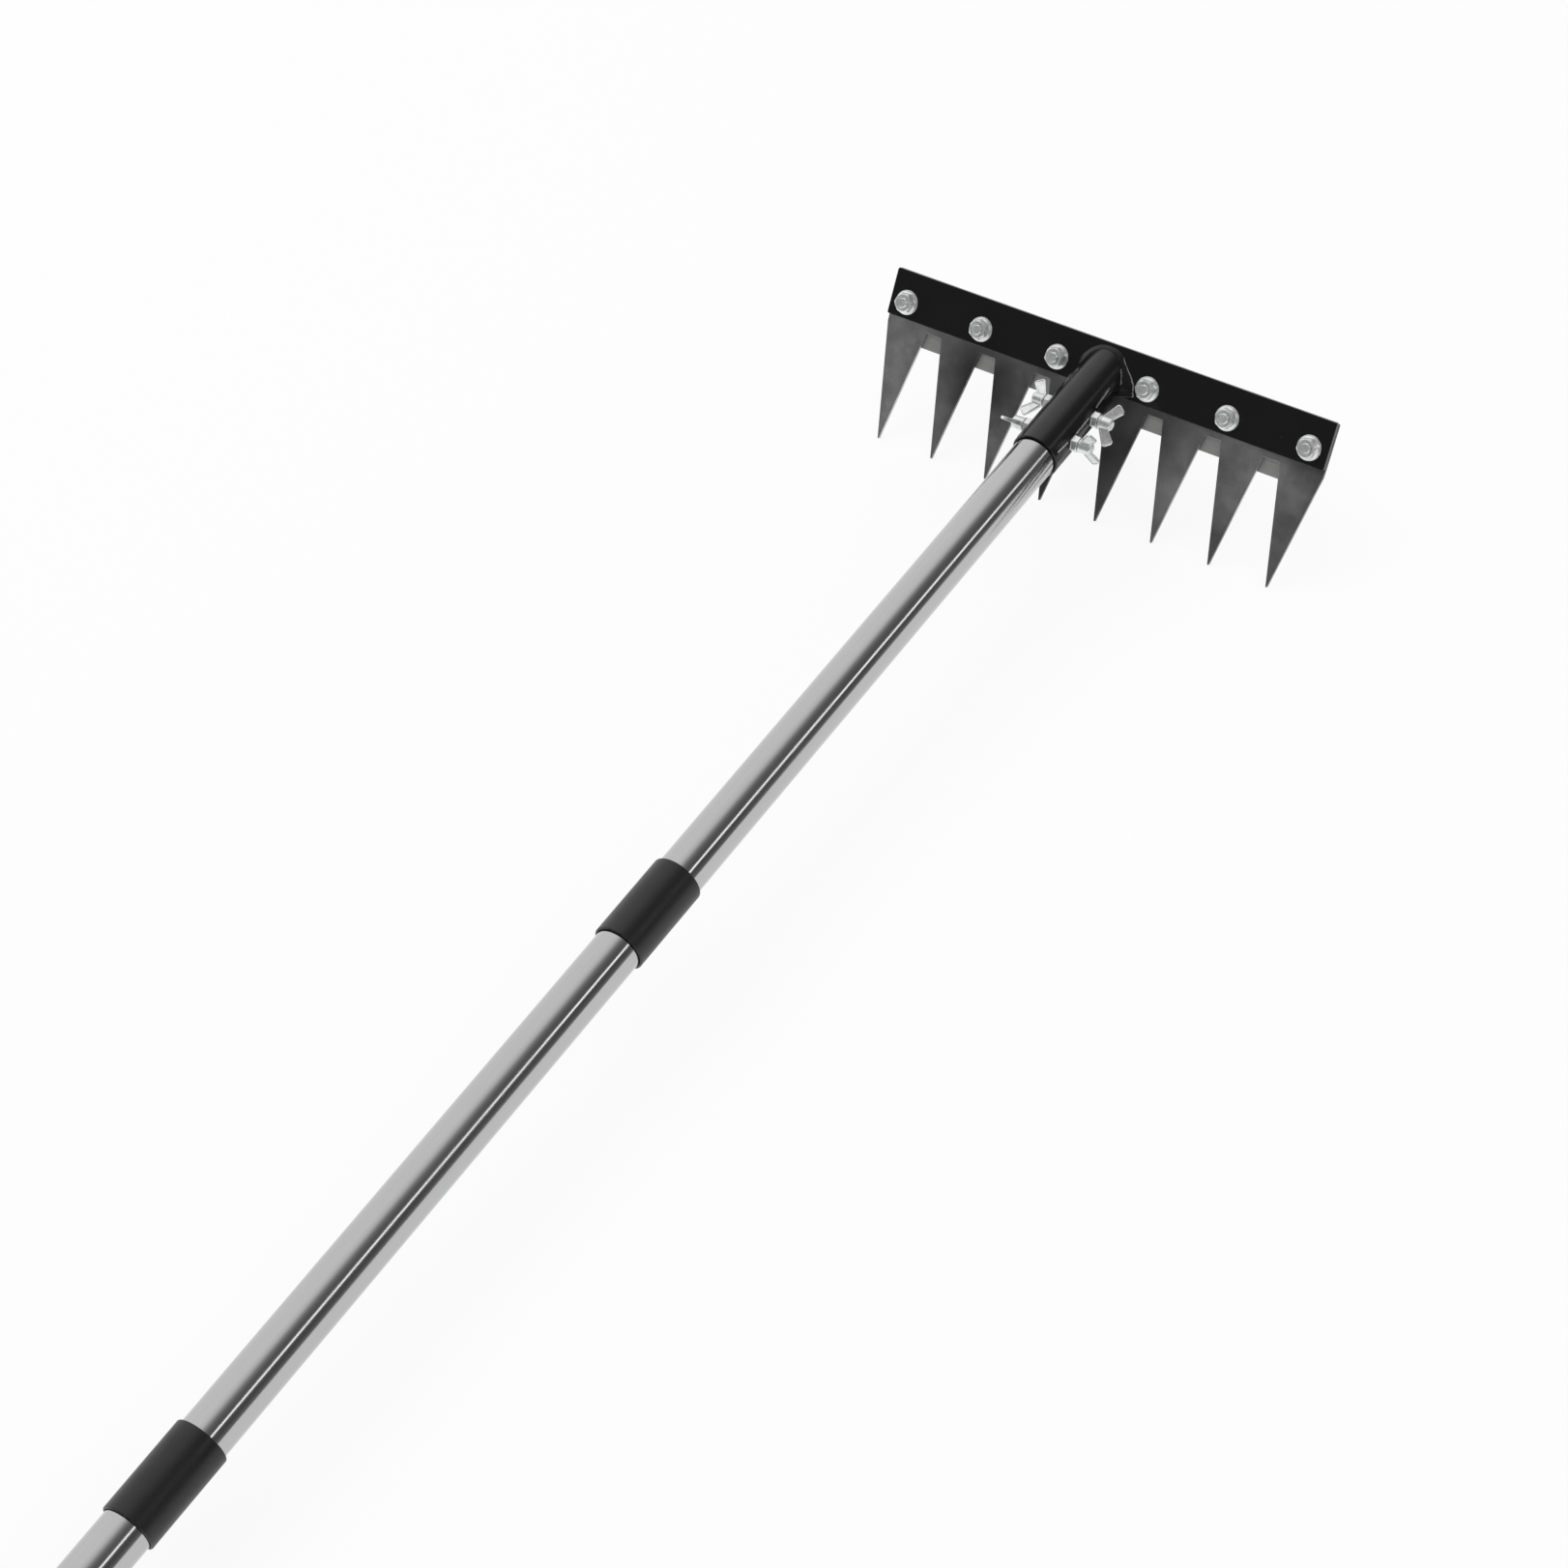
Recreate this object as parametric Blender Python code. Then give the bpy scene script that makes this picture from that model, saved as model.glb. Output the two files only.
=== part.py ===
import math

import bmesh
import bpy
import numpy as np
from mathutils import Matrix, Vector

# Lawn leveling rake, at rest on its tooth tips and on the end of its pole.
# Head frame: X along the bar, Y up the bar away from the teeth, Z out of its front face.
# The head frame's origin is where the pole's axis meets the bar's front face.
# Pole frame: the same origin, Z along the pole towards the hand, Y on the pole's upper side.

MM = 0.001

# Shared fits
GAP = 0.3 * MM
POLE_TO_TEETH = math.radians(54.0)

# Front bar
BAR_LENGTH = 280.0 * MM
BAR_THICK = 3.0 * MM
BAR_ABOVE_AXIS = 20.5 * MM
BAR_BELOW_AXIS = 6.5 * MM
BAR_CORNER = 1.2 * MM

# Tooth plate, behind the bar
TOOTH_COUNT = 8
TOOTH_LENGTH = 67.3 * MM
PLATE_THICK = 2.0 * MM
PLATE_SET_DOWN = 1.0 * MM
ROOT_BELOW_BAR = 4.3 * MM
ROOT_GAP = 10.0 * MM
TIP_WIDTH = 0.8 * MM
ROOT_FILLET = 1.0 * MM
ROOT_BELOW_AXIS = BAR_BELOW_AXIS + ROOT_BELOW_BAR
TIP_BELOW_AXIS = ROOT_BELOW_AXIS + TOOTH_LENGTH
PLATE_TOP = BAR_ABOVE_AXIS - PLATE_SET_DOWN

# Backing strip, behind the tooth plate
STRIP_THICK = 2.5 * MM
STRIP_BELOW_ROOT = 9.4 * MM
STRIP_SET_DOWN = 8.0 * MM
STRIP_SET_IN = 5.0 * MM

# Pole sections
SECTION_COUNT = 4
POLE_RADIUS = 12.5 * MM
POLE_WALL = 1.0 * MM
POLE_FOOT_GAP = 1.5 * MM
FIRST_JOINT = 432.5 * MM
SECTION_PITCH = 363.5 * MM
LAST_SECTION = 338.5 * MM
TUBE_END_GAP = 0.6 * MM
COUPLER_WALL = 1.2 * MM
COUPLER_LENGTH = 50.0 * MM
COUPLER_EDGE = 0.8 * MM
SPIGOT_IN = 26.0 * MM
SPIGOT_OUT = 27.0 * MM
SPIGOT_EDGE = 1.0 * MM
SPIGOT_WALL = 2.7 * MM
FERRULE_LENGTH = 26.0 * MM
FERRULE_WALL = 1.7 * MM
PLUG_RADIUS = POLE_RADIUS - POLE_WALL - GAP
SLEEVE_BORE = POLE_RADIUS + GAP
SPIGOT_THREAD_RADIUS = PLUG_RADIUS - FERRULE_WALL - GAP

# End cap in the hand end
CAP_WALL = 1.2 * MM
CAP_COVER = 34.0 * MM
CAP_DOME = 6.0 * MM
CAP_DOME_STEPS = 4
CAP_PAST_TUBE = 7.5 * MM
CAP_PLUG_LENGTH = 15.0 * MM
CAP_PLUG_EDGE = 2.0 * MM

# Socket on the front of the bar
SOCKET_WALL = 1.2 * MM
SOCKET_REACH = 70.0 * MM
SOCKET_RADIUS = SLEEVE_BORE + SOCKET_WALL
WELD_TOP_LEG = 3.0 * MM
WELD_SIDE_LEG = 7.0 * MM
WELD_HEIGHT = 3.2 * MM
WELD_SWELL = 0.45
WELD_REACH = math.radians(108.0)
WELD_STATIONS = 20

# Bolts and flange nuts, three on each side of the socket
NUT_FROM_SOCKET = 14.9 * MM
NUT_FROM_END = 11.2 * MM
BOLT_ABOVE_AXIS = 3.0 * MM
THREAD_RADIUS = 3.0 * MM
HEX_ACROSS = 10.0 * MM
HEX_ROUNDING = 0.45 * MM
EDGE_CUT = 0.5 * MM
BOLT_HEAD_HEIGHT = 4.0 * MM
NUT_HEIGHT = 5.4 * MM
NUT_FLANGE_RADIUS = 7.1 * MM
NUT_FLANGE_EDGE = 0.9 * MM
NUT_CONE_HEIGHT = 2.0 * MM
STUD_PAST_NUT = 0.7 * MM
NUT_TURNS = (8.0, 34.0, 21.0, 2.0, 47.0, 15.0)

# Weld nuts and wing screws, two on each side of the socket
SCREW_RADIUS = 2.5 * MM
SCREW_FROM_MOUTH = 18.5 * MM
SCREW_SPACING = 21.2 * MM
WELD_NUT_HEIGHT = 3.2 * MM
WELD_NUT_ACROSS = 8.0 * MM
WELD_NUT_ROOT = 3.0 * MM
WELD_NUT_FACE = SOCKET_RADIUS + WELD_NUT_HEIGHT
HUB_WALL = 1.2 * MM
HUB_TAPER = 0.7 * MM
HUB_HEIGHT = 7.6 * MM
HUB_EDGE = 0.4 * MM
HUB_BORE_DEPTH = 4.6 * MM
HUB_RADIUS = SCREW_RADIUS + GAP + HUB_WALL
WING_REACH = 12.2 * MM
WING_THICK = 1.8 * MM
EAR_ROOT_HEIGHT = 1.0 * MM
EAR_ROOT = 2.6 * MM
EAR_ROOT_WIDTH = 4.6 * MM
EAR_END_WIDTH = 6.6 * MM
EAR_CORNER = 1.8 * MM
EAR_TILT = math.radians(38.0)
WING_TURNS = {"right_1": -37.0, "left_1": -17.0, "right_2": -97.0, "left_2": 47.0}

# Cutters run this far past what they cut
CUT_PAST = 2.0 * MM

ROUND_STEPS = 36
INNER_STEPS = 24
SMALL_STEPS = 18
CORNER_STEPS = 4
SLOPE_ROUNDS = 40

# Edges sharper than this many degrees stay sharp in the shading
SHARP_ANGLE = 35.0
WELD_SHARP_ANGLE = 60.0


def clear_scene():
    for obj in list(bpy.data.objects):
        bpy.data.objects.remove(obj, do_unlink=True)


def make_material(name, colour, roughness, metallic):
    material = bpy.data.materials.new(name)
    material.use_nodes = True
    shader = material.node_tree.nodes["Principled BSDF"]
    shader.inputs["Base Color"].default_value = (*colour, 1.0)
    shader.inputs["Roughness"].default_value = roughness
    shader.inputs["Metallic"].default_value = metallic
    material.diffuse_color = (*colour, 1.0)
    return material


# Places along the bar and the pole

def bolt_places():
    """One bolt beside the socket, one near the bar's end and one midway between, on both sides."""
    inner = SOCKET_RADIUS + NUT_FROM_SOCKET
    outer = BAR_LENGTH / 2.0 - NUT_FROM_END
    right = [inner, (inner + outer) / 2.0, outer]
    return [-place for place in reversed(right)] + right


def screw_places():
    """Wing screws along the pole, the one nearer the bar first."""
    second = SOCKET_REACH - SCREW_FROM_MOUTH
    return [second - SCREW_SPACING, second]


def joint_places():
    """Middle of each coupler, as a distance along the pole."""
    return [FIRST_JOINT + SECTION_PITCH * number for number in range(SECTION_COUNT - 1)]


def pole_end():
    return joint_places()[-1] + LAST_SECTION


# Frames

def cap_profile():
    """Outside of the end cap as (distance along the pole, radius)."""
    end = pole_end() + CAP_PAST_TUBE
    shape = []
    for step in range(CAP_DOME_STEPS + 1):
        angle = math.radians(90.0) * step / CAP_DOME_STEPS
        along = end - CAP_DOME * (1.0 - math.sin(angle))
        radius = SLEEVE_BORE + CAP_WALL - CAP_DOME * (1.0 - math.cos(angle))
        shape.append((along, radius))
    return shape


def rest_slope():
    """Slope of the pole that puts the tooth tips and the end cap on one level."""
    slope = 0.0
    back = BAR_THICK + GAP + PLATE_THICK
    for _ in range(SLOPE_ROUNDS):
        lean = POLE_TO_TEETH + slope
        height = TIP_BELOW_AXIS * math.sin(lean) + back * math.cos(lean)
        lowest = max(cap_profile(), key=lambda at: at[0] * math.sin(slope) + at[1] * math.cos(slope))
        slope = math.asin((height - lowest[1] * math.cos(slope)) / lowest[0])
    return slope, height


def frame_from(x_axis, y_axis, z_axis, origin):
    turn = Matrix((x_axis, y_axis, z_axis)).transposed()
    return Matrix.Translation(origin) @ turn.to_4x4()


def make_frames():
    """Head frame and pole frame, placed so that the whole rake is centred along its length."""
    slope, height = rest_slope()
    lean = POLE_TO_TEETH + slope
    along_bar = Vector((1.0, 0.0, 0.0))
    up_bar = Vector((0.0, math.cos(lean), math.sin(lean)))
    out_of_bar = along_bar.cross(up_bar)
    to_hand = Vector((0.0, -math.cos(slope), -math.sin(slope)))
    plate_back = BAR_THICK + GAP + PLATE_THICK
    head_end = PLATE_TOP * up_bar.y - plate_back * out_of_bar.y
    hand_end = max(
        along * math.cos(slope) + radius * math.sin(slope) for along, radius in cap_profile()
    )
    origin = Vector((0.0, (hand_end - head_end) / 2.0, height))
    head = frame_from(along_bar, up_bar, out_of_bar, origin)
    pole = frame_from(along_bar, to_hand.cross(along_bar), to_hand, origin)
    return head, pole


def screw_frame(pole, place, side):
    """Frame of a wing screw: Z out of the socket on that side, X along the pole."""
    out = pole.to_3x3() @ Vector((side, 0.0, 0.0))
    along = pole.to_3x3() @ Vector((0.0, 0.0, 1.0))
    return frame_from(along, out.cross(along), out, pole @ Vector((0.0, 0.0, place)))


def on_pole(pole, place):
    return pole @ Matrix.Translation((0.0, 0.0, place))


# Mesh helpers

def add_object(name, mesh_data, material, frame, collection):
    obj = bpy.data.objects.new(name, mesh_data)
    mesh_data.materials.append(material)
    collection.objects.link(obj)
    obj.matrix_world = frame
    return obj


def mesh_from(bm, name):
    bmesh.ops.remove_doubles(bm, verts=bm.verts, dist=1e-7)
    bmesh.ops.recalc_face_normals(bm, faces=bm.faces)
    mesh_data = bpy.data.meshes.new(name)
    bm.to_mesh(mesh_data)
    bm.free()
    return mesh_data


def smooth(obj, degrees=SHARP_ANGLE):
    obj.data.shade_smooth()
    obj.data.set_sharp_from_angle(angle=math.radians(degrees))


def circle(radius, height, steps=SMALL_STEPS):
    turn = np.linspace(0.0, 2.0 * math.pi, steps, endpoint=False)
    return np.stack(
        [radius * np.cos(turn), radius * np.sin(turn), np.full(steps, height)], axis=1
    )


def hexagon(across, height, rounded=False):
    """Ring of points on a hexagon; rounded cuts its corners back to a circle."""
    turn = np.linspace(0.0, 2.0 * math.pi, SMALL_STEPS, endpoint=False)
    from_flat = np.mod(turn, math.pi / 3.0) - math.pi / 6.0
    radius = across / 2.0 / np.cos(from_flat)
    if rounded:
        radius = np.minimum(radius, across / 2.0 + HEX_ROUNDING)
    return np.stack(
        [radius * np.cos(turn), radius * np.sin(turn), np.full(SMALL_STEPS, height)], axis=1
    )


def loft(name, rings, ring_closed=False):
    """Skin over rings of equal length; ring_closed joins the last ring to the first."""
    bm = bmesh.new()
    rows = [[bm.verts.new(point) for point in ring] for ring in rings]
    pairs = list(zip(rows, rows[1:]))
    if ring_closed:
        pairs.append((rows[-1], rows[0]))
    count = len(rows[0])
    for low, high in pairs:
        for here in range(count):
            after = (here + 1) % count
            bm.faces.new((low[here], low[after], high[after], high[here]))
    if not ring_closed:
        bm.faces.new(list(reversed(rows[0])))
        bm.faces.new(rows[-1])
    return mesh_from(bm, name)


def spin_profile(name, profile, steps=ROUND_STEPS):
    """Closed (radius, height) outline turned once about Z."""
    bm = bmesh.new()
    points = [bm.verts.new((radius, 0.0, height)) for radius, height in profile]
    edges = [bm.edges.new((a, b)) for a, b in zip(points, points[1:] + points[:1])]
    bmesh.ops.spin(
        bm,
        geom=points + edges,
        cent=(0.0, 0.0, 0.0),
        axis=(0.0, 0.0, 1.0),
        angle=2.0 * math.pi,
        steps=steps,
        use_merge=True,
    )
    return mesh_from(bm, name)


def flat_plate(name, outline, holes, low, high):
    """Flat piece between the heights low and high, with round holes through it."""
    curve = bpy.data.curves.new(name, "CURVE")
    curve.dimensions = "2D"
    curve.fill_mode = "BOTH"
    curve.extrude = (high - low) / 2.0
    loops = [outline]
    for centre_x, centre_y, radius in holes:
        ring = circle(radius, 0.0)
        loops.append([(centre_x + x, centre_y + y) for x, y, _ in ring])
    for points in loops:
        spline = curve.splines.new("POLY")
        spline.points.add(len(points) - 1)
        spline.use_cyclic_u = True
        for point, (x, y) in zip(spline.points, points):
            point.co = (x, y, 0.0, 1.0)
    holder = bpy.data.objects.new(name + "_outline", curve)
    bpy.context.scene.collection.objects.link(holder)
    graph = bpy.context.evaluated_depsgraph_get()
    flat = bpy.data.meshes.new_from_object(holder.evaluated_get(graph))
    bpy.data.objects.remove(holder, do_unlink=True)
    bm = bmesh.new()
    bm.from_mesh(flat)
    bmesh.ops.translate(bm, verts=bm.verts, vec=(0.0, 0.0, (low + high) / 2.0))
    bpy.data.meshes.remove(flat)
    return mesh_from(bm, name)


def add_cutter(name, mesh_data, frame, collection):
    obj = bpy.data.objects.new(name, mesh_data)
    collection.objects.link(obj)
    obj.matrix_world = frame
    obj.hide_render = True
    obj.display_type = "WIRE"
    return obj


def use_boolean(obj, other, operation):
    step = obj.modifiers.new(operation.lower(), "BOOLEAN")
    step.object = other
    step.operation = operation
    step.solver = "EXACT"


# Head pieces

def bolt_holes():
    radius = THREAD_RADIUS + GAP
    return [(place, BOLT_ABOVE_AXIS, radius) for place in bolt_places()]


def make_bar(frame, material, parts):
    half = BAR_LENGTH / 2.0
    corners = []
    centres = (
        (half - BAR_CORNER, BAR_ABOVE_AXIS - BAR_CORNER),
        (BAR_CORNER - half, BAR_ABOVE_AXIS - BAR_CORNER),
        (BAR_CORNER - half, BAR_CORNER - BAR_BELOW_AXIS),
        (half - BAR_CORNER, BAR_CORNER - BAR_BELOW_AXIS),
    )
    for quarter, (x, y) in enumerate(centres):
        for step in range(CORNER_STEPS):
            angle = math.radians(90.0) * (quarter + step / (CORNER_STEPS - 1))
            corners.append((x + BAR_CORNER * math.cos(angle), y + BAR_CORNER * math.sin(angle)))
    mesh_data = flat_plate("bar", corners, bolt_holes(), -BAR_THICK, 0.0)
    return add_object("bar", mesh_data, material, frame, parts)


def tooth_outline():
    """Plate with straight-sided teeth; each root has a small slanted corner."""
    half = BAR_LENGTH / 2.0
    pitch = (BAR_LENGTH + ROOT_GAP) / TOOTH_COUNT
    width = pitch - ROOT_GAP
    root = -ROOT_BELOW_AXIS
    run = (width - TIP_WIDTH) / 2.0
    side = ROOT_FILLET / math.hypot(run, TOOTH_LENGTH)
    points = [(half, PLATE_TOP), (-half, PLATE_TOP)]
    for tooth in range(TOOTH_COUNT):
        left = -half + tooth * pitch
        right = left + width
        if tooth:
            points.append((left - ROOT_FILLET, root))
            points.append((left + run * side, root - TOOTH_LENGTH * side))
        else:
            points.append((left, root))
        points.append((left + run, -TIP_BELOW_AXIS))
        points.append((right - run, -TIP_BELOW_AXIS))
        if tooth < TOOTH_COUNT - 1:
            points.append((right - run * side, root - TOOTH_LENGTH * side))
            points.append((right + ROOT_FILLET, root))
        else:
            points.append((right, root))
    return points


def make_tooth_plate(frame, material, parts):
    front = -BAR_THICK - GAP
    mesh_data = flat_plate(
        "tooth_plate", tooth_outline(), bolt_holes(), front - PLATE_THICK, front
    )
    return add_object("tooth_plate", mesh_data, material, frame, parts)


def make_backing_strip(frame, material, parts):
    """Strip behind the plate, lower than its top and short of its ends, seen below the roots."""
    half = BAR_LENGTH / 2.0 - STRIP_SET_IN
    top = PLATE_TOP - STRIP_SET_DOWN
    bottom = -ROOT_BELOW_AXIS - STRIP_BELOW_ROOT
    front = -BAR_THICK - PLATE_THICK - 2.0 * GAP
    corners = [(half, top), (-half, top), (-half, bottom), (half, bottom)]
    mesh_data = flat_plate(
        "backing_strip", corners, bolt_holes(), front - STRIP_THICK, front
    )
    return add_object("backing_strip", mesh_data, material, frame, parts)


def make_bolts(frame, material, parts):
    """Hexagon head behind the strip, shank through the stack, end past the nut."""
    seat = -BAR_THICK - PLATE_THICK - STRIP_THICK - 3.0 * GAP
    back = seat - BOLT_HEAD_HEIGHT
    tip = GAP + NUT_HEIGHT + STUD_PAST_NUT
    for number, place in enumerate(bolt_places(), 1):
        rings = [
            circle(HEX_ACROSS / 2.0 - EDGE_CUT, back),
            hexagon(HEX_ACROSS, back + EDGE_CUT, rounded=True),
            hexagon(HEX_ACROSS, seat),
            circle(THREAD_RADIUS, seat),
            circle(THREAD_RADIUS, tip - EDGE_CUT),
            circle(THREAD_RADIUS - EDGE_CUT, tip),
        ]
        mesh_data = loft("bolt_%d" % number, rings)
        spot = frame @ Matrix.Translation((place, BOLT_ABOVE_AXIS, 0.0))
        smooth(add_object("bolt_%d" % number, mesh_data, material, spot, parts))


def make_flange_nuts(frame, material, parts):
    bore = THREAD_RADIUS + GAP
    low = GAP
    top = GAP + NUT_HEIGHT
    for number, (place, turn) in enumerate(zip(bolt_places(), NUT_TURNS), 1):
        rings = [
            circle(bore, low),
            circle(NUT_FLANGE_RADIUS, low),
            circle(NUT_FLANGE_RADIUS, low + NUT_FLANGE_EDGE),
            hexagon(HEX_ACROSS, low + NUT_CONE_HEIGHT),
            hexagon(HEX_ACROSS, top - EDGE_CUT),
            hexagon(HEX_ACROSS, top, rounded=True),
            circle(bore + EDGE_CUT, top),
            circle(bore, top - EDGE_CUT),
        ]
        mesh_data = loft("flange_nut_%d" % number, rings, ring_closed=True)
        spot = frame @ Matrix.Translation((place, BOLT_ABOVE_AXIS, 0.0))
        spot = spot @ Matrix.Rotation(math.radians(turn), 4, "Z")
        smooth(add_object("flange_nut_%d" % number, mesh_data, material, spot, parts))


def socket_foot(radius, turn, height):
    """Point of a tube round the pole's axis, at a height over the bar's front face."""
    lean = math.tan(POLE_TO_TEETH)
    x = radius * math.sin(turn)
    y = -height / lean + radius / math.sin(POLE_TO_TEETH) * math.cos(turn)
    return np.array((x, y, height))


def make_socket(head, pole, material, parts, cutters):
    """Tube square at its mouth and cut to the bar's face at its foot, drilled crosswise."""
    rings = []
    to_pole = pole.inverted() @ head
    edges = (
        (SOCKET_RADIUS, True),
        (SOCKET_RADIUS, False),
        (SLEEVE_BORE, False),
        (SLEEVE_BORE, True),
    )
    for radius, at_foot in edges:
        ring = []
        for turn in np.linspace(0.0, 2.0 * math.pi, ROUND_STEPS, endpoint=False):
            if at_foot:
                ring.append(to_pole @ Vector(socket_foot(radius, turn, GAP)))
            else:
                across = (radius * math.sin(turn), radius * math.cos(turn))
                ring.append(Vector((*across, SOCKET_REACH)))
        rings.append(ring)
    mesh_data = loft("socket_tube", rings, ring_closed=True)
    obj = add_object("socket_tube", mesh_data, material, pole, parts)
    reach = SOCKET_RADIUS + CUT_PAST
    radius = SCREW_RADIUS + GAP
    for number, place in enumerate(screw_places(), 1):
        drill = loft("socket_drill_%d" % number, [circle(radius, -reach), circle(radius, reach)])
        frame = screw_frame(pole, place, 1.0)
        use_boolean(obj, add_cutter(drill.name, drill, frame, cutters), "DIFFERENCE")
    smooth(obj)
    return obj


def make_socket_weld(head, material, parts):
    """Fillet from the bar's face up the socket, open below the bar's lower edge."""
    lowest = GAP - BAR_BELOW_AXIS
    near = SOCKET_RADIUS + GAP
    rings = []
    for station in range(WELD_STATIONS + 1):
        turn = WELD_REACH * (2.0 * station / WELD_STATIONS - 1.0)
        share = (turn / WELD_REACH) ** 2
        leg = WELD_TOP_LEG + (WELD_SIDE_LEG - WELD_TOP_LEG) * share
        out = np.array((math.sin(turn), max(math.cos(turn), 0.0), 0.0))
        root = socket_foot(near, turn, GAP)
        high = socket_foot(near, turn, GAP + WELD_HEIGHT)
        mid = socket_foot(near, turn, GAP + WELD_HEIGHT * WELD_SWELL)
        toe = root + leg * out
        swell = mid + WELD_SWELL * leg * out
        ring = [root, toe, swell, high]
        for point in ring:
            point[1] = max(point[1], lowest)
        rings.append(ring)
    mesh_data = loft("socket_weld", rings)
    obj = add_object("socket_weld", mesh_data, material, head, parts)
    smooth(obj, WELD_SHARP_ANGLE)
    return obj


# Wing screws and their nuts

def make_weld_nut(name, pole, place, side, material, parts, cutters):
    """Hexagon nut with its inner end hollowed to sit round the socket."""
    bore = SCREW_RADIUS + GAP
    start = SOCKET_RADIUS - WELD_NUT_ROOT
    rings = [
        circle(bore, start),
        hexagon(WELD_NUT_ACROSS, start),
        hexagon(WELD_NUT_ACROSS, WELD_NUT_FACE - EDGE_CUT),
        hexagon(WELD_NUT_ACROSS, WELD_NUT_FACE, rounded=True),
        circle(bore, WELD_NUT_FACE),
    ]
    mesh_data = loft(name, rings, ring_closed=True)
    obj = add_object(name, mesh_data, material, screw_frame(pole, place, side), parts)
    seat = circle(SOCKET_RADIUS + GAP, 0.0, ROUND_STEPS)
    low = seat + (0.0, 0.0, place - WELD_NUT_ACROSS)
    high = seat + (0.0, 0.0, place + WELD_NUT_ACROSS)
    cutter = add_cutter(name + "_seat", loft(name + "_seat", [low, high]), pole, cutters)
    use_boolean(obj, cutter, "DIFFERENCE")
    smooth(obj)
    return obj


def make_stud(name, frame, material, parts):
    """Threaded shank, from just off the pole to inside the wing."""
    low = POLE_RADIUS + GAP
    high = WELD_NUT_FACE + HUB_BORE_DEPTH
    rings = [
        circle(SCREW_RADIUS - EDGE_CUT, low),
        circle(SCREW_RADIUS, low + EDGE_CUT),
        circle(SCREW_RADIUS, high - EDGE_CUT),
        circle(SCREW_RADIUS - EDGE_CUT, high),
    ]
    smooth(add_object(name, loft(name, rings), material, frame, parts))


def ear_outline(side):
    """Tilted ear in the wing's plane, wider at its round-cornered end, reaching WING_REACH."""
    cosine, sine = math.cos(EAR_TILT), math.sin(EAR_TILT)
    half_end = EAR_END_WIDTH / 2.0
    inner = WING_REACH - EAR_CORNER - half_end * sine + EAR_CORNER * (cosine + sine)
    end = inner / cosine
    turn = np.linspace(0.0, math.pi / 2.0, CORNER_STEPS)
    arc_along = end - EAR_CORNER + EAR_CORNER * np.sin(turn)
    arc_across = half_end - EAR_CORNER + EAR_CORNER * np.cos(turn)
    along = np.concatenate([[EAR_ROOT], arc_along, arc_along[::-1], [EAR_ROOT]])
    half_root = EAR_ROOT_WIDTH / 2.0
    across = np.concatenate([[half_root], arc_across, -arc_across[::-1], [-half_root]])
    out = along * cosine - across * sine
    up = along * sine + across * cosine
    return side * out, EAR_ROOT_HEIGHT + up


def make_wing(name, frame, turn, material, parts, cutters):
    """Tapered hub with two flat ears in one plane through its axis."""
    spot = frame @ Matrix.Translation((0.0, 0.0, WELD_NUT_FACE + GAP))
    spot = spot @ Matrix.Rotation(turn, 4, "Z")
    rings = [
        circle(HUB_RADIUS - HUB_EDGE, 0.0),
        circle(HUB_RADIUS, HUB_EDGE),
        circle(HUB_RADIUS - HUB_TAPER, HUB_HEIGHT - HUB_EDGE),
        circle(HUB_RADIUS - HUB_TAPER - HUB_EDGE, HUB_HEIGHT),
    ]
    obj = add_object(name, loft(name, rings), material, spot, parts)
    half = WING_THICK / 2.0
    for number, side in enumerate((1.0, -1.0), 1):
        x, z = ear_outline(side)
        low = np.stack([x, np.full(len(x), -half), z], axis=1)
        high = np.stack([x, np.full(len(x), half), z], axis=1)
        ear = loft("%s_ear_%d" % (name, number), [low, high])
        use_boolean(obj, add_cutter(ear.name, ear, spot, cutters), "UNION")
    bore = SCREW_RADIUS + GAP
    drill = loft(name + "_drill", [circle(bore, -CUT_PAST), circle(bore, HUB_BORE_DEPTH)])
    use_boolean(obj, add_cutter(drill.name, drill, spot, cutters), "DIFFERENCE")
    smooth(obj)


def make_wing_screws(pole, materials, parts, cutters):
    for number, place in enumerate(screw_places(), 1):
        for word, side in (("right", 1.0), ("left", -1.0)):
            key = "%s_%d" % (word, number)
            frame = screw_frame(pole, place, side)
            make_weld_nut(
                "weld_nut_" + key, pole, place, side, materials["zinc"], parts, cutters
            )
            make_stud("wing_stud_" + key, frame, materials["zinc"], parts)
            # The frame's Y is on the pole's lower side on the right and on its upper side on the left.
            turn = math.radians(-side * WING_TURNS[key])
            make_wing("wing_head_" + key, frame, turn, materials["zinc"], parts, cutters)


# Pole

def make_pole_tube(number, pole, start, end, material, parts):
    length = end - start
    inner = POLE_RADIUS - POLE_WALL
    profile = [(POLE_RADIUS, 0.0), (POLE_RADIUS, length), (inner, length), (inner, 0.0)]
    mesh_data = spin_profile("pole_tube_%d" % number, profile)
    frame = on_pole(pole, start)
    smooth(add_object("pole_tube_%d" % number, mesh_data, material, frame, parts))


def make_coupler(number, pole, place, material, parts):
    half = COUPLER_LENGTH / 2.0
    outer = SLEEVE_BORE + COUPLER_WALL
    profile = [
        (SLEEVE_BORE, -half),
        (outer - COUPLER_EDGE, -half),
        (outer, COUPLER_EDGE - half),
        (outer, half - COUPLER_EDGE),
        (outer - COUPLER_EDGE, half),
        (SLEEVE_BORE, half),
    ]
    mesh_data = spin_profile("coupler_%d" % number, profile)
    frame = on_pole(pole, place)
    smooth(add_object("coupler_%d" % number, mesh_data, material, frame, parts))


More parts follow.
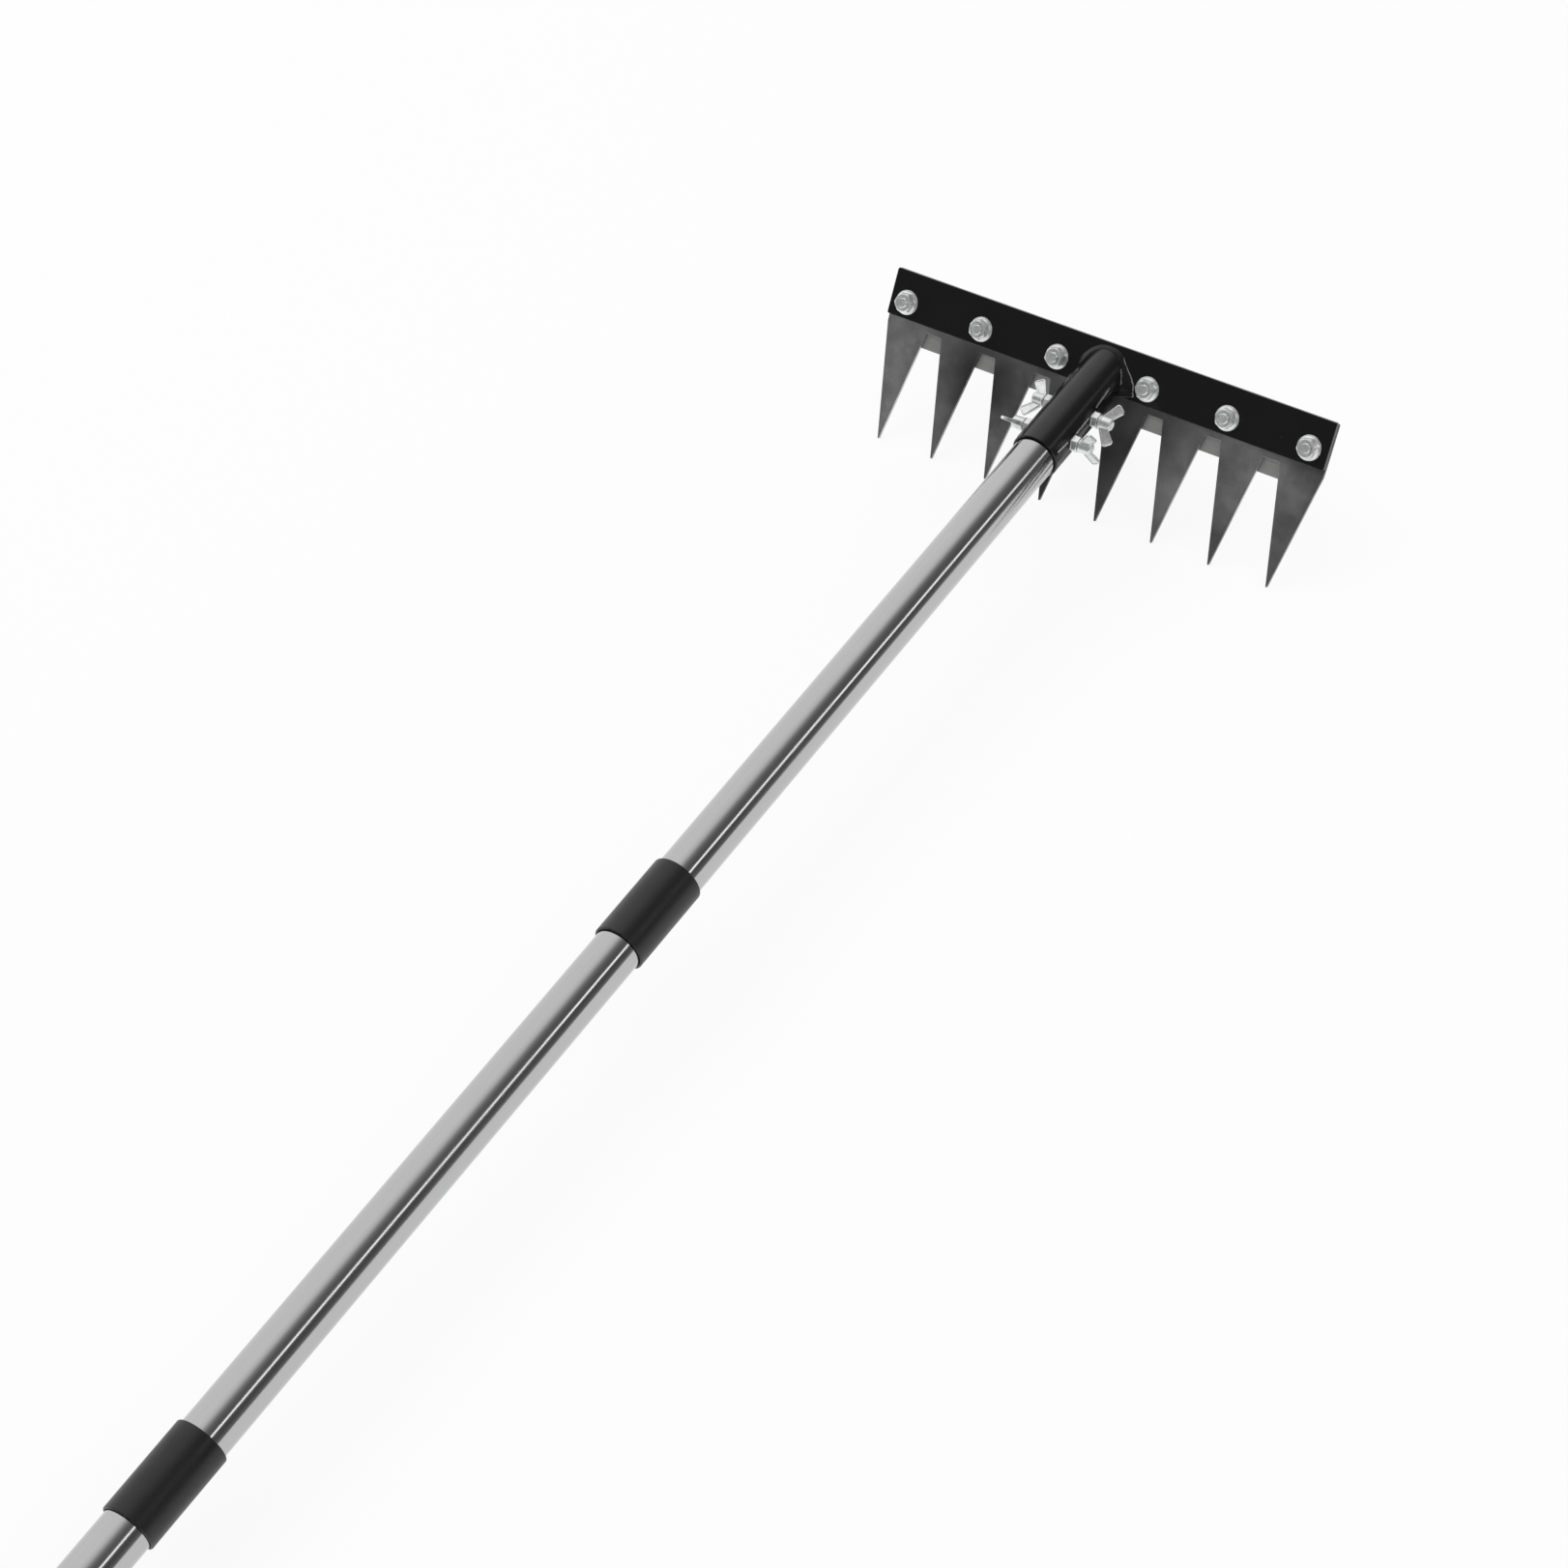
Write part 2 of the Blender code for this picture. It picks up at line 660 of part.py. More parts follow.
def make_spigot(number, pole, place, material, parts):
    """Plug in the end of the section nearer the head, with a smaller threaded end."""
    bore = SPIGOT_THREAD_RADIUS - SPIGOT_WALL
    shoulder = -TUBE_END_GAP
    profile = [
        (bore, -SPIGOT_IN),
        (PLUG_RADIUS, -SPIGOT_IN),
        (PLUG_RADIUS, shoulder),
        (SPIGOT_THREAD_RADIUS, shoulder),
        (SPIGOT_THREAD_RADIUS, SPIGOT_OUT - SPIGOT_EDGE),
        (SPIGOT_THREAD_RADIUS - SPIGOT_EDGE, SPIGOT_OUT),
        (bore, SPIGOT_OUT),
    ]
    mesh_data = spin_profile("spigot_%d" % number, profile, INNER_STEPS)
    frame = on_pole(pole, place)
    smooth(add_object("spigot_%d" % number, mesh_data, material, frame, parts))


def make_ferrule(number, pole, place, material, parts):
    """Threaded lining in the end of the section nearer the hand."""
    inner = SPIGOT_THREAD_RADIUS + GAP
    low = TUBE_END_GAP
    high = TUBE_END_GAP + FERRULE_LENGTH
    profile = [(PLUG_RADIUS, low), (PLUG_RADIUS, high), (inner, high), (inner, low)]
    mesh_data = spin_profile("ferrule_%d" % number, profile, INNER_STEPS)
    frame = on_pole(pole, place)
    smooth(add_object("ferrule_%d" % number, mesh_data, material, frame, parts))


def make_end_cap(pole, material, parts):
    """Sleeve over the last section with a rounded closed end, and a plug inside the tube."""
    end = pole_end()
    start = end - CAP_COVER
    plug_start = CAP_COVER - CAP_PLUG_LENGTH
    floor = CAP_COVER + GAP
    outer = SLEEVE_BORE + CAP_WALL
    rings = [
        circle(PLUG_RADIUS - CAP_PLUG_EDGE, plug_start, ROUND_STEPS),
        circle(PLUG_RADIUS, plug_start, ROUND_STEPS),
        circle(PLUG_RADIUS, floor, ROUND_STEPS),
        circle(SLEEVE_BORE, floor, ROUND_STEPS),
        circle(SLEEVE_BORE, 0.0, ROUND_STEPS),
        circle(outer - COUPLER_EDGE, 0.0, ROUND_STEPS),
        circle(outer, COUPLER_EDGE, ROUND_STEPS),
    ]
    for along, radius in cap_profile():
        rings.append(circle(radius, along - start, ROUND_STEPS))
    mesh_data = loft("end_cap", rings)
    frame = on_pole(pole, start)
    smooth(add_object("end_cap", mesh_data, material, frame, parts))


def make_pole(pole, materials, parts):
    places = joint_places()
    foot = POLE_RADIUS / math.tan(POLE_TO_TEETH) + POLE_FOOT_GAP
    starts = [foot] + [place + TUBE_END_GAP for place in places]
    ends = [place - TUBE_END_GAP for place in places] + [pole_end()]
    for number, (start, end) in enumerate(zip(starts, ends), 1):
        make_pole_tube(number, pole, start, end, materials["stainless"], parts)
    for number, place in enumerate(places, 1):
        make_coupler(number, pole, place, materials["plastic"], parts)
        make_spigot(number, pole, place, materials["plastic"], parts)
        make_ferrule(number, pole, place, materials["plastic"], parts)
    make_end_cap(pole, materials["plastic"], parts)


def main():
    clear_scene()
    parts = bpy.data.collections.new("lawn_leveling_rake")
    cutters = bpy.data.collections.new("cutters")
    cutters.hide_render = True
    bpy.context.scene.collection.children.link(parts)
    bpy.context.scene.collection.children.link(cutters)
    materials = {
        "paint": make_material("black_paint", (0.008, 0.008, 0.009), 0.28, 0.0),
        "tooth": make_material("tooth_steel", (0.11, 0.11, 0.115), 0.42, 1.0),
        "strip": make_material("bare_steel", (0.34, 0.34, 0.34), 0.45, 1.0),
        "zinc": make_material("zinc_plate", (0.62, 0.62, 0.61), 0.25, 1.0),
        "stainless": make_material("stainless_tube", (0.6, 0.6, 0.6), 0.16, 1.0),
        "plastic": make_material("black_plastic", (0.016, 0.016, 0.017), 0.45, 0.0),
    }
    head, pole = make_frames()
    make_bar(head, materials["paint"], parts)
    make_tooth_plate(head, materials["tooth"], parts)
    make_backing_strip(head, materials["strip"], parts)
    make_bolts(head, materials["zinc"], parts)
    make_flange_nuts(head, materials["zinc"], parts)
    make_socket(head, pole, materials["paint"], parts, cutters)
    make_socket_weld(head, materials["paint"], parts)
    make_wing_screws(pole, materials, parts, cutters)
    make_pole(pole, materials, parts)


main()
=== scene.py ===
import math

import bmesh
import bpy
import numpy as np
from mathutils import Matrix


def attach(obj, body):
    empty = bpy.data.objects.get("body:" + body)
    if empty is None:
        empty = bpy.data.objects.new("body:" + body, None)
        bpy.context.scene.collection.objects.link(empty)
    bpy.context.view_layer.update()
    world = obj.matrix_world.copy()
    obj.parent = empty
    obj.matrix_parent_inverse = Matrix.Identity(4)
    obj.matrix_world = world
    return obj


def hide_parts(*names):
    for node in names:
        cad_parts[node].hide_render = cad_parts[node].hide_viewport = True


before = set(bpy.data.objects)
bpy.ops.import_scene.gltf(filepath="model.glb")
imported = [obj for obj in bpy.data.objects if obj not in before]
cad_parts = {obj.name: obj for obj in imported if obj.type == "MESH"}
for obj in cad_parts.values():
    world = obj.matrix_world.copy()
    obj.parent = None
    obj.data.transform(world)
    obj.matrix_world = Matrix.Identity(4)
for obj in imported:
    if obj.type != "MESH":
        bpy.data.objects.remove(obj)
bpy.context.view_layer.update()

mm = 0.001
fullTurn = 2.0 * math.pi
quarterTurn = math.pi / 2.0

# How the rake lies: the pole slopes down to its end cap, the head stands on its tooth tips
rakeStance = {
    "poleToTeeth": 54.0,
    "poleSlope": 2.054525705696448,
    "meetingPoint": (0.0, 0.7447667113, 0.0677489062),
    "poleRadius": 12.5,
    "clearance": 0.3,
}


# Places on the rake

def frameOf(xAxis, yAxis, zAxis, origin):
    # A 4 by 4 table whose columns are the three axes and the origin
    table = np.eye(4)
    table[:3] = np.stack([xAxis, yAxis, zAxis, origin], axis=1)
    return table


def shifted(place, x=0.0, y=0.0, z=0.0, turn=0.0):
    # The same frame moved by x, y, z in its own directions, then turned about its own Z
    step = np.eye(4)
    step[:3, 3] = (x, y, z)
    c, s = math.cos(turn), math.sin(turn)
    step[:2, :2] = ((c, -s), (s, c))
    return place @ step


poleSlope = math.radians(rakeStance["poleSlope"])
poleToTeeth = math.radians(rakeStance["poleToTeeth"])
barLean = poleSlope + poleToTeeth
alongBar = np.array((1.0, 0.0, 0.0))
upBar = np.array((0.0, math.cos(barLean), math.sin(barLean)))
toHand = np.array((0.0, -math.cos(poleSlope), -math.sin(poleSlope)))
meetingPoint = rakeStance["meetingPoint"]
headFrame = frameOf(alongBar, upBar, np.cross(alongBar, upBar), meetingPoint)
poleFrame = frameOf(alongBar, np.cross(toHand, alongBar), toHand, meetingPoint)
gap = rakeStance["clearance"]


def screwFrame(alongPole, side):
    # Z points out of the socket on that side, X runs along the pole
    out = side * alongBar
    origin = (poleFrame @ (0.0, 0.0, alongPole, 1.0))[:3]
    return frameOf(toHand, np.cross(out, toHand), out, origin)


# Surfaces

# hold: distance of the point that keeps a flat's shading flat, and its most as a share of a side
meshRules = {"hold": 0.05 * mm, "holdShare": 0.02, "cornerShare": 0.48, "weldWithin": 1e-7}


def unit(step):
    return step / np.linalg.norm(step)


def turnsOf(columns):
    return np.linspace(0.0, fullTurn, columns, endpoint=False)


def revolved(radii, heights, columns, scale=mm):
    # Radius and height carried once round Z: x = r cos(turn), y = r sin(turn), z = height.
    # Both are parts set one under another, and each level has one number or one for each column.
    turn = turnsOf(columns)
    radius, height = (
        np.vstack([np.reshape(part, (len(part), -1)) + 0.0 * turn for part in parts]) * scale
        for parts in (radii, heights)
    )
    return np.stack([radius * np.cos(turn), radius * np.sin(turn), height], axis=-1)


def softHexagon(turn, across, sharpness=34.0):
    # Distance to a hexagon: half its width over the high-power mean of the cosines to its flats
    facing = turn[None, :] - math.pi / 6.0 - np.arange(3)[:, None] * math.pi / 3.0
    return across / 2.0 / (np.abs(np.cos(facing)) ** sharpness).sum(axis=0) ** (1.0 / sharpness)


def chamferedHexagon(turn, across, flat, depth, lean=30.0):
    # The hexagon held inside a cone: flat radius plus depth over the tangent of its lean
    cone = flat + depth / math.tan(math.radians(lean))
    return np.minimum(softHexagon(turn, across)[None, :], cone[:, None])


def threadWave(turn, height, pitch, crest=0.18):
    # Triangle wave of height over pitch less turn over a full turn, with its crests cut flat
    phase = np.mod(height[:, None] / pitch - turn[None, :] / fullTurn, 1.0)
    wave = np.abs(2.0 * phase - 1.0)
    return np.clip(wave * (1.0 + 2.0 * crest) - crest, 0.0, 1.0)


def threadedRod(low, high, look, rowsPerPitch=16):
    # Thread along a rod: radius less depth times the thread wave, cut by a cone at each end
    turn = turnsOf(look["columns"])
    height = np.linspace(low, high, int((high - low) / look["pitch"] * rowsPerPitch) + 1)
    wave = threadWave(turn, height, look["pitch"])
    radius = look["radius"] - look["threadDepth"] * (1.0 - wave)
    cone = look["radius"] - look["tipCut"] + np.minimum(height - low, high - height)
    return np.minimum(radius, cone[:, None]), height


def roundedCorners(corners, radii, closed, steps, hold=meshRules["hold"]):
    # Each corner becomes an arc of its radius between its two tangent points, found by turning
    # one spoke into the other, with a point just outside each tangent point so flats shade flat
    corners = np.asarray(corners, float)
    count = len(corners)
    points, worn = [], []
    for i in range(count):
        here = corners[i]
        if radii[i] <= 0.0 or (not closed and i in (0, count - 1)):
            points.append(here)
            worn.append(np.zeros(1))
            continue
        back = corners[i - 1] - here
        ahead = corners[(i + 1) % count] - here
        room = meshRules["cornerShare"] * min(np.linalg.norm(back), np.linalg.norm(ahead))
        held = min(hold, meshRules["holdShare"] * np.linalg.norm(back))
        back, ahead = unit(back), unit(ahead)
        half = math.acos(np.clip(back @ ahead, -1.0, 1.0)) / 2.0
        reach = min(radii[i] / math.tan(half), room)
        radius = reach * math.tan(half)
        centre = here + unit(back + ahead) * radius / math.sin(half)
        first = here + back * reach - centre
        last = here + ahead * reach - centre
        swing = math.pi - 2.0 * half
        share = np.linspace(0.0, 1.0, steps)[:, None]
        arc = np.sin((1.0 - share) * swing) * first + np.sin(share * swing) * last
        arc = centre + arc / math.sin(swing)
        points += [here + back * (reach + held), arc, here + ahead * (reach + held)]
        worn.append(np.concatenate([[0.0], np.sin(share[:, 0] * math.pi) ** 0.5, [0.0]]))
    return np.vstack(points), np.concatenate(worn)


def patchOf(grid, worn=0.0, loopRows=False, capped=False):
    # A grid of points, rows by columns by 3, that closes round its columns. Its rows may close
    # too, or its two ends may get a flat face each. Worn is one number a row or a table.
    worn = np.asarray(worn, float)
    if worn.ndim == 1:
        worn = worn[:, None]
    return {
        "grid": grid, "worn": np.broadcast_to(worn, grid.shape[:2]),
        "loopRows": loopRows, "capped": capped,
    }


def turnedPatch(corners, radii, steps, columns, closed=True):
    # A profile of radius and height in millimetres, its corners rounded, turned about its axis
    profile, worn = roundedCorners(np.array(corners) * mm, np.array(radii) * mm, closed, steps)
    grid = revolved([profile[:, 0]], [profile[:, 1]], columns, 1.0)
    return patchOf(grid, worn, loopRows=closed)


def meshOf(name, patches, place, sharpAngle):
    # Neighbouring points of each grid make a quad; points that coincide are welded, quads with
    # a welded side become triangles, and a capped grid gets one flat face at each end
    points, worn, quads, caps = [], [], [], []
    start = 0
    for patch in patches:
        rows, columns = patch["grid"].shape[:2]
        index = start + np.arange(rows * columns).reshape(rows, columns)
        start += rows * columns
        if patch["capped"]:
            caps += [index[0][::-1], index[-1]]
        if patch["loopRows"]:
            index = np.vstack([index, index[:1]])
        index = np.hstack([index, index[:, :1]])
        corner = (index[:-1, :-1], index[:-1, 1:], index[1:, 1:], index[1:, :-1])
        quads.append(np.stack(corner, axis=-1).reshape(-1, 4))
        points.append(patch["grid"].reshape(-1, 3))
        worn.append(patch["worn"].reshape(-1))
    points = np.vstack(points)
    whole = np.round(points / meshRules["weldWithin"]).astype(np.int64)
    first, same = np.unique(whole, axis=0, return_index=True, return_inverse=True)[1:]
    same = same.reshape(-1)
    quads = same[np.vstack(quads)]
    repeated = quads == np.roll(quads, -1, axis=1)
    repeats = repeated.sum(axis=1)
    triangles = quads[repeats == 1][~repeated[repeats == 1]].reshape(-1, 3)
    faces = quads[repeats == 0].tolist() + triangles.tolist()
    faces += [same[cap].tolist() for cap in caps]
    placed = points[first] @ place[:3, :3].T + place[:3, 3]
    mesh = bpy.data.meshes.new(name)
    mesh.from_pydata(placed.tolist(), [], faces)
    turnedOut = bmesh.new()
    turnedOut.from_mesh(mesh)
    bmesh.ops.recalc_face_normals(turnedOut, faces=turnedOut.faces)
    turnedOut.to_mesh(mesh)
    turnedOut.free()
    wornEdgeAndHighlightMask = mesh.attributes.new("wornEdgeAndHighlight", "FLOAT", "POINT")
    wornEdgeAndHighlightMask.data.foreach_set("value", np.concatenate(worn)[first].astype(np.float32))
    mesh.shade_smooth()
    mesh.set_sharp_from_angle(angle=math.radians(sharpAngle))
    mesh.update()
    return mesh


shownPieces = bpy.data.collections.new("rakePieces")
bpy.context.scene.collection.children.link(shownPieces)


def addPiece(name, patches, place, finish, body, nodes, sharpAngle=32.0):
    piece = bpy.data.objects.new(name, meshOf(name, patches, place, sharpAngle))
    piece.data.materials.append(finish["material"])
    shownPieces.objects.link(piece)
    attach(piece, body)
    if nodes:
        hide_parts(*nodes)


# Shader nodes

def feed(tree, node, inputs):
    # Each named input takes a link from a socket, or a plain value
    for key, value in inputs.items():
        if isinstance(value, bpy.types.NodeSocket):
            tree.links.new(value, node.inputs[key])
        else:
            node.inputs[key].default_value = value


def nodeIn(tree, kind, inputs=None, **settings):
    node = tree.nodes.new("ShaderNode" + kind)
    for key, value in settings.items():
        setattr(node, key, value)
    feed(tree, node, inputs or {})
    return node


def groupIn(tree, group, inputs):
    return nodeIn(tree, "Group", inputs, node_tree=group).outputs


def mathIn(tree, operation, first, second):
    return nodeIn(tree, "Math", {0: first, 1: second}, operation=operation).outputs[0]


def mixIn(tree, share, first, second, kind="RGBA"):
    # From first to second by a share of 0 to 1
    inputs = {"Factor": share, "A": first, "B": second}
    return nodeIn(tree, "Mix", inputs, data_type=kind).outputs["Result"]


def rangeIn(tree, value, fromLow, fromHigh, low=0.0, high=1.0):
    # The value's range from fromLow to fromHigh mapped on low to high, and held inside it
    return nodeIn(tree, "MapRange", {
        "Value": value, "From Min": fromLow, "From Max": fromHigh, "To Min": low, "To Max": high,
    }).outputs["Result"]


def noiseIn(tree, spot, size, detail, roughness):
    return nodeIn(tree, "TexNoise", {
        "Vector": spot, "Scale": size, "Detail": detail, "Roughness": roughness,
    }).outputs["Fac"]


# Effects that the finishes share

grainLook = {"fineDetail": 3.0, "coarseSize": 0.14, "coarseDetail": 2.0, "coarseRoughness": 0.5}
filmRoughness = 0.6
wearNoise = {"detail": 4.0, "roughness": 0.65}


def newGroup(name, numbers, outputs):
    # A shader group that takes a vector and some numbers and puts out numbers
    group = bpy.data.node_groups.new(name, "ShaderNodeTree")
    group.interface.new_socket(name="Vector", in_out="INPUT", socket_type="NodeSocketVector")
    for key, value in numbers.items():
        made = group.interface.new_socket(name=key, in_out="INPUT", socket_type="NodeSocketFloat")
        made.default_value = value
    for key in outputs:
        group.interface.new_socket(name=key, in_out="OUTPUT", socket_type="NodeSocketFloat")
    return group, group.nodes.new("NodeGroupInput").outputs, group.nodes.new("NodeGroupOutput")


def makeGrainGroup():
    # Fine relief: two noises of different size added in a set share; Height is signed about zero
    numbers = {"Size": 900.0, "Coarse Share": 0.35, "Roughness": 0.55}
    group, given, leave = newGroup("fineGrain", numbers, ["Height", "Mask"])
    look, spot, size = grainLook, given["Vector"], given["Size"]
    fine = noiseIn(group, spot, size, look["fineDetail"], given["Roughness"])
    larger = mathIn(group, "MULTIPLY", size, look["coarseSize"])
    coarse = noiseIn(group, spot, larger, look["coarseDetail"], look["coarseRoughness"])
    both = mixIn(group, given["Coarse Share"], fine, coarse, "FLOAT")
    feed(group, leave, {"Height": mathIn(group, "SUBTRACT", both, 0.5), "Mask": both})
    return group


def makeFilmGroup():
    # Slow cloudy change, as from handling and dust: fractal noise mapped from Low to High
    numbers = {"Size": 40.0, "Low": 0.2, "High": 0.4, "Spread": 0.16, "Detail": 5.0}
    group, given, leave = newGroup("handledFilm", numbers, ["Value"])
    cloud = noiseIn(group, given["Vector"], given["Size"], given["Detail"], filmRoughness)
    lowest = mathIn(group, "SUBTRACT", 0.5, given["Spread"])
    highest = mathIn(group, "ADD", 0.5, given["Spread"])
    held = rangeIn(group, cloud, lowest, highest, given["Low"], given["High"])
    feed(group, leave, {"Value": held})
    return group


def makeWearAndHighlightGroup():
    # Wear on edges: the piece's edge mask times noise, kept where it passes a threshold. The mask
    #     # also carries the bright lines on the socket's weld and beads, which serve as a painted
    #     highlight
    numbers = {"Size": 350.0, "Threshold": 0.55, "Softness": 0.12}
    group, given, leave = newGroup("edgeWearAndHighlight", numbers, ["Mask"])
    edge = nodeIn(group, "Attribute", attribute_name="wornEdgeAndHighlight").outputs["Fac"]
    detail, roughness = wearNoise["detail"], wearNoise["roughness"]
    brokenUp = noiseIn(group, given["Vector"], given["Size"], detail, roughness)
    product = mathIn(group, "MULTIPLY", edge, brokenUp)
    upper = mathIn(group, "ADD", given["Threshold"], given["Softness"])
    feed(group, leave, {"Mask": rangeIn(group, product, given["Threshold"], upper)})
    return group


def makeSpeckGroup():
    # Small specks of dust: cells whose own random value passes a share, within a set distance
    numbers = {"Size": 300.0, "Share": 0.1, "Radius": 0.16}
    group, given, leave = newGroup("dustSpecks", numbers, ["Mask"])
    spot = {"Vector": given["Vector"], "Scale": given["Size"]}
    cells = nodeIn(group, "TexVoronoi", spot).outputs
    near = rangeIn(group, cells["Distance"], given["Radius"], 0.0)
    pick = nodeIn(group, "SeparateColor", {"Color": cells["Color"]}).outputs[0]
    chosen = mathIn(group, "LESS_THAN", pick, given["Share"])
    feed(group, leave, {"Mask": mathIn(group, "MULTIPLY", near, chosen)})
    return group


grainGroup = makeGrainGroup()
filmGroup = makeFilmGroup()
wearAndHighlightGroup = makeWearAndHighlightGroup()
speckGroup = makeSpeckGroup()


def cloudIn(tree, spot, size, low=0.0, high=1.0, **more):
    inputs = {"Vector": spot, "Size": size, "Low": low, "High": high, **more}
    return groupIn(tree, filmGroup, inputs)["Value"]


def wearAndHighlightIn(tree, spot, look):
    return groupIn(tree, wearAndHighlightGroup, {
        "Vector": spot, "Size": look["wearSize"],
        "Threshold": look["wornFrom"], "Softness": look["wornSoftness"],
    })["Mask"]


def specksIn(tree, spot, look):
    return groupIn(tree, speckGroup, {
        "Vector": spot, "Size": look["speckSize"],
        "Share": look["speckShare"], "Radius": look["speckRadius"],
    })["Mask"]


# Finishes

def makeFinish(name, slotName, look, inputsOf):
    # A material with grain for its relief and a film for its roughness. Its grain is drawn into
    # lines by a stretch along the piece, and inputsOf gives its colour and what else it changes.
    material = bpy.data.materials.new(name)
    material.use_nodes = True
    tree = material.node_tree
    spot = nodeIn(tree, "TexCoord").outputs["Object"]
    drawn = spot
    if "stretch" in look:
        lean = (look.get("lean", 0.0), 0.0, 0.0)
        leant = nodeIn(tree, "Mapping", {"Vector": spot, "Rotation": lean}).outputs[0]
        stretched = {"Vector": leant, "Scale": look["stretch"]}
        drawn = nodeIn(tree, "Mapping", stretched).outputs[0]
    grain = groupIn(tree, grainGroup, {
        "Vector": drawn, "Size": look["grainSize"], "Coarse Share": look["coarseShare"],
    })
    relief = nodeIn(tree, "Bump", {
        "Height": grain["Height"], "Distance": look["relief"] * mm,
    })
    rough = cloudIn(tree, spot, look["filmSize"], look["roughLow"], look["roughHigh"])
    feed(tree, tree.nodes["Principled BSDF"], {
        "Roughness": rough, "Metallic": look["metallic"], "Normal": relief.outputs["Normal"],
        **inputsOf(tree, look, {"spot": spot, "grain": grain["Mask"], "rough": rough}),
    })
    return {"material": material, "slot": slotName}


paintLook = {
    "colour": (0.006, 0.006, 0.0064, 1.0),
    # Bare metal of worn edges, also used for lines that serve as a painted highlight
    "metal": (0.62, 0.615, 0.61, 1.0),
    "dust": (0.055, 0.053, 0.05, 1.0),
    "dustStrength": 0.5,
    "grainSize": 620.0, "coarseShare": 0.5, "relief": 0.03,
    "filmSize": 28.0, "roughLow": 0.2, "roughHigh": 0.27, "metallic": 0.0,
    "wearSize": 420.0, "wornFrom": 0.66, "wornSoftness": 0.12, "wornRoughness": 0.42,
    "speckSize": 260.0, "speckShare": 0.06, "speckRadius": 0.16,
}


def paintInputs(tree, look, given):
    # Sprayed gloss black over its orange peel: faint specks, bare metal on worn edges, and
    #     # bare-metal lines on the socket's weld and beads that serve as a painted highlight
    wear = wearAndHighlightIn(tree, given["spot"], look)
    specks = specksIn(tree, given["spot"], look)
    faint = mathIn(tree, "MULTIPLY", specks, look["dustStrength"])
    dusty = mixIn(tree, faint, look["colour"], look["dust"])
    return {
        "Base Color": mixIn(tree, wear, dusty, look["metal"]),
        "Roughness": mixIn(tree, wear, given["rough"], look["wornRoughness"], "FLOAT"),
        "Metallic": wear,
    }


toothLook = {
    "dark": (0.42, 0.42, 0.43, 1.0),
    "light": (0.68, 0.68, 0.695, 1.0),
    "cloudSize": 55.0, "streakShare": 0.45,
    # Dark mill-scale patches, shifted so that the teeth differ in tone like their reflections:
    # partly painted reflection
    "scale": (0.1, 0.1, 0.105, 1.0),
    "scaleAndReflectionSize": 13.0, "scaleAndReflectionSpread": 0.13, "scaleAndReflectionDetail": 1.0, "reflectionMatchShift": (0.524, 0.0, 0.0),
    "cut": (0.6, 0.6, 0.6, 1.0),
    "wearSize": 300.0, "wornFrom": 0.44, "wornSoftness": 0.2,
    "stretch": (1.0, 0.16, 0.16), "grainSize": 1500.0, "coarseShare": 0.45, "relief": 0.03,
    "filmSize": 90.0, "roughLow": 0.34, "roughHigh": 0.5, "metallic": 1.0,
}


def toothInputs(tree, look, given):
    # Rolled steel plate: cloudy scale, streaks along the teeth, brighter sheared edges, and large
    # dark patches of mill scale shifted so that whole teeth come out lighter or darker: partly
    # real scale, partly painted reflection
    spot = given["spot"]
    cloud = cloudIn(tree, spot, look["cloudSize"])
    shade = mixIn(tree, look["streakShare"], cloud, given["grain"], "FLOAT")
    colour = mixIn(tree, shade, look["dark"], look["light"])
    # Patches moved so that each tooth gets its own tone: mill scale and painted reflection
    reflectionShiftedSpot = nodeIn(tree, "Mapping", {"Vector": spot, "Location": look["reflectionMatchShift"]})
    patches = cloudIn(
        tree, reflectionShiftedSpot.outputs[0], look["scaleAndReflectionSize"],
        Spread=look["scaleAndReflectionSpread"], Detail=look["scaleAndReflectionDetail"],
    )
    scaleAndReflectionColour = mixIn(tree, patches, colour, look["scale"])
    return {"Base Color": mixIn(tree, wearAndHighlightIn(tree, spot, look), scaleAndReflectionColour, look["cut"])}


stripLook = {
    "dark": (0.27, 0.27, 0.27, 1.0),
    "light": (0.5, 0.5, 0.49, 1.0),
    "stretch": (0.06, 1.0, 1.0), "grainSize": 1800.0, "coarseShare": 0.3, "relief": 0.02,
    "filmSize": 60.0, "roughLow": 0.36, "roughHigh": 0.55, "metallic": 0.52,
}
# The tube's lines run along the pole, so its coordinates are first leant by the pole's slope
tubeLook = {
    "dark": (0.45, 0.45, 0.455, 1.0),
    "light": (0.53, 0.53, 0.535, 1.0),
    "stretch": (1.0, 0.012, 1.0), "lean": -poleSlope,
    "grainSize": 1400.0, "coarseShare": 0.3, "relief": 0.006,
    "filmSize": 22.0, "roughLow": 0.1, "roughHigh": 0.17, "metallic": 1.0,
}


def linedInputs(tree, look, given):
    # Drawn or brushed metal: fine lines between a dark and a light tone
    return {"Base Color": mixIn(tree, given["grain"], look["dark"], look["light"])}


zincLook = {
    "bright": (0.92, 0.925, 0.93, 1.0),
    "dull": (0.7, 0.705, 0.71, 1.0),
    "cloudSize": 160.0,
    "grime": (0.06, 0.058, 0.055, 1.0),
    "speckSize": 900.0, "speckShare": 0.08, "speckRadius": 0.3,
    "grainSize": 2600.0, "coarseShare": 0.4, "relief": 0.02,
    "filmSize": 240.0, "roughLow": 0.2, "roughHigh": 0.34, "metallic": 0.7,
}


def zincInputs(tree, look, given):
    # Bright zinc plate: cloudy passivation with small dark specks
    cloud = cloudIn(tree, given["spot"], look["cloudSize"])
    colour = mixIn(tree, cloud, look["dull"], look["bright"])
    return {"Base Color": mixIn(tree, specksIn(tree, given["spot"], look), colour, look["grime"])}


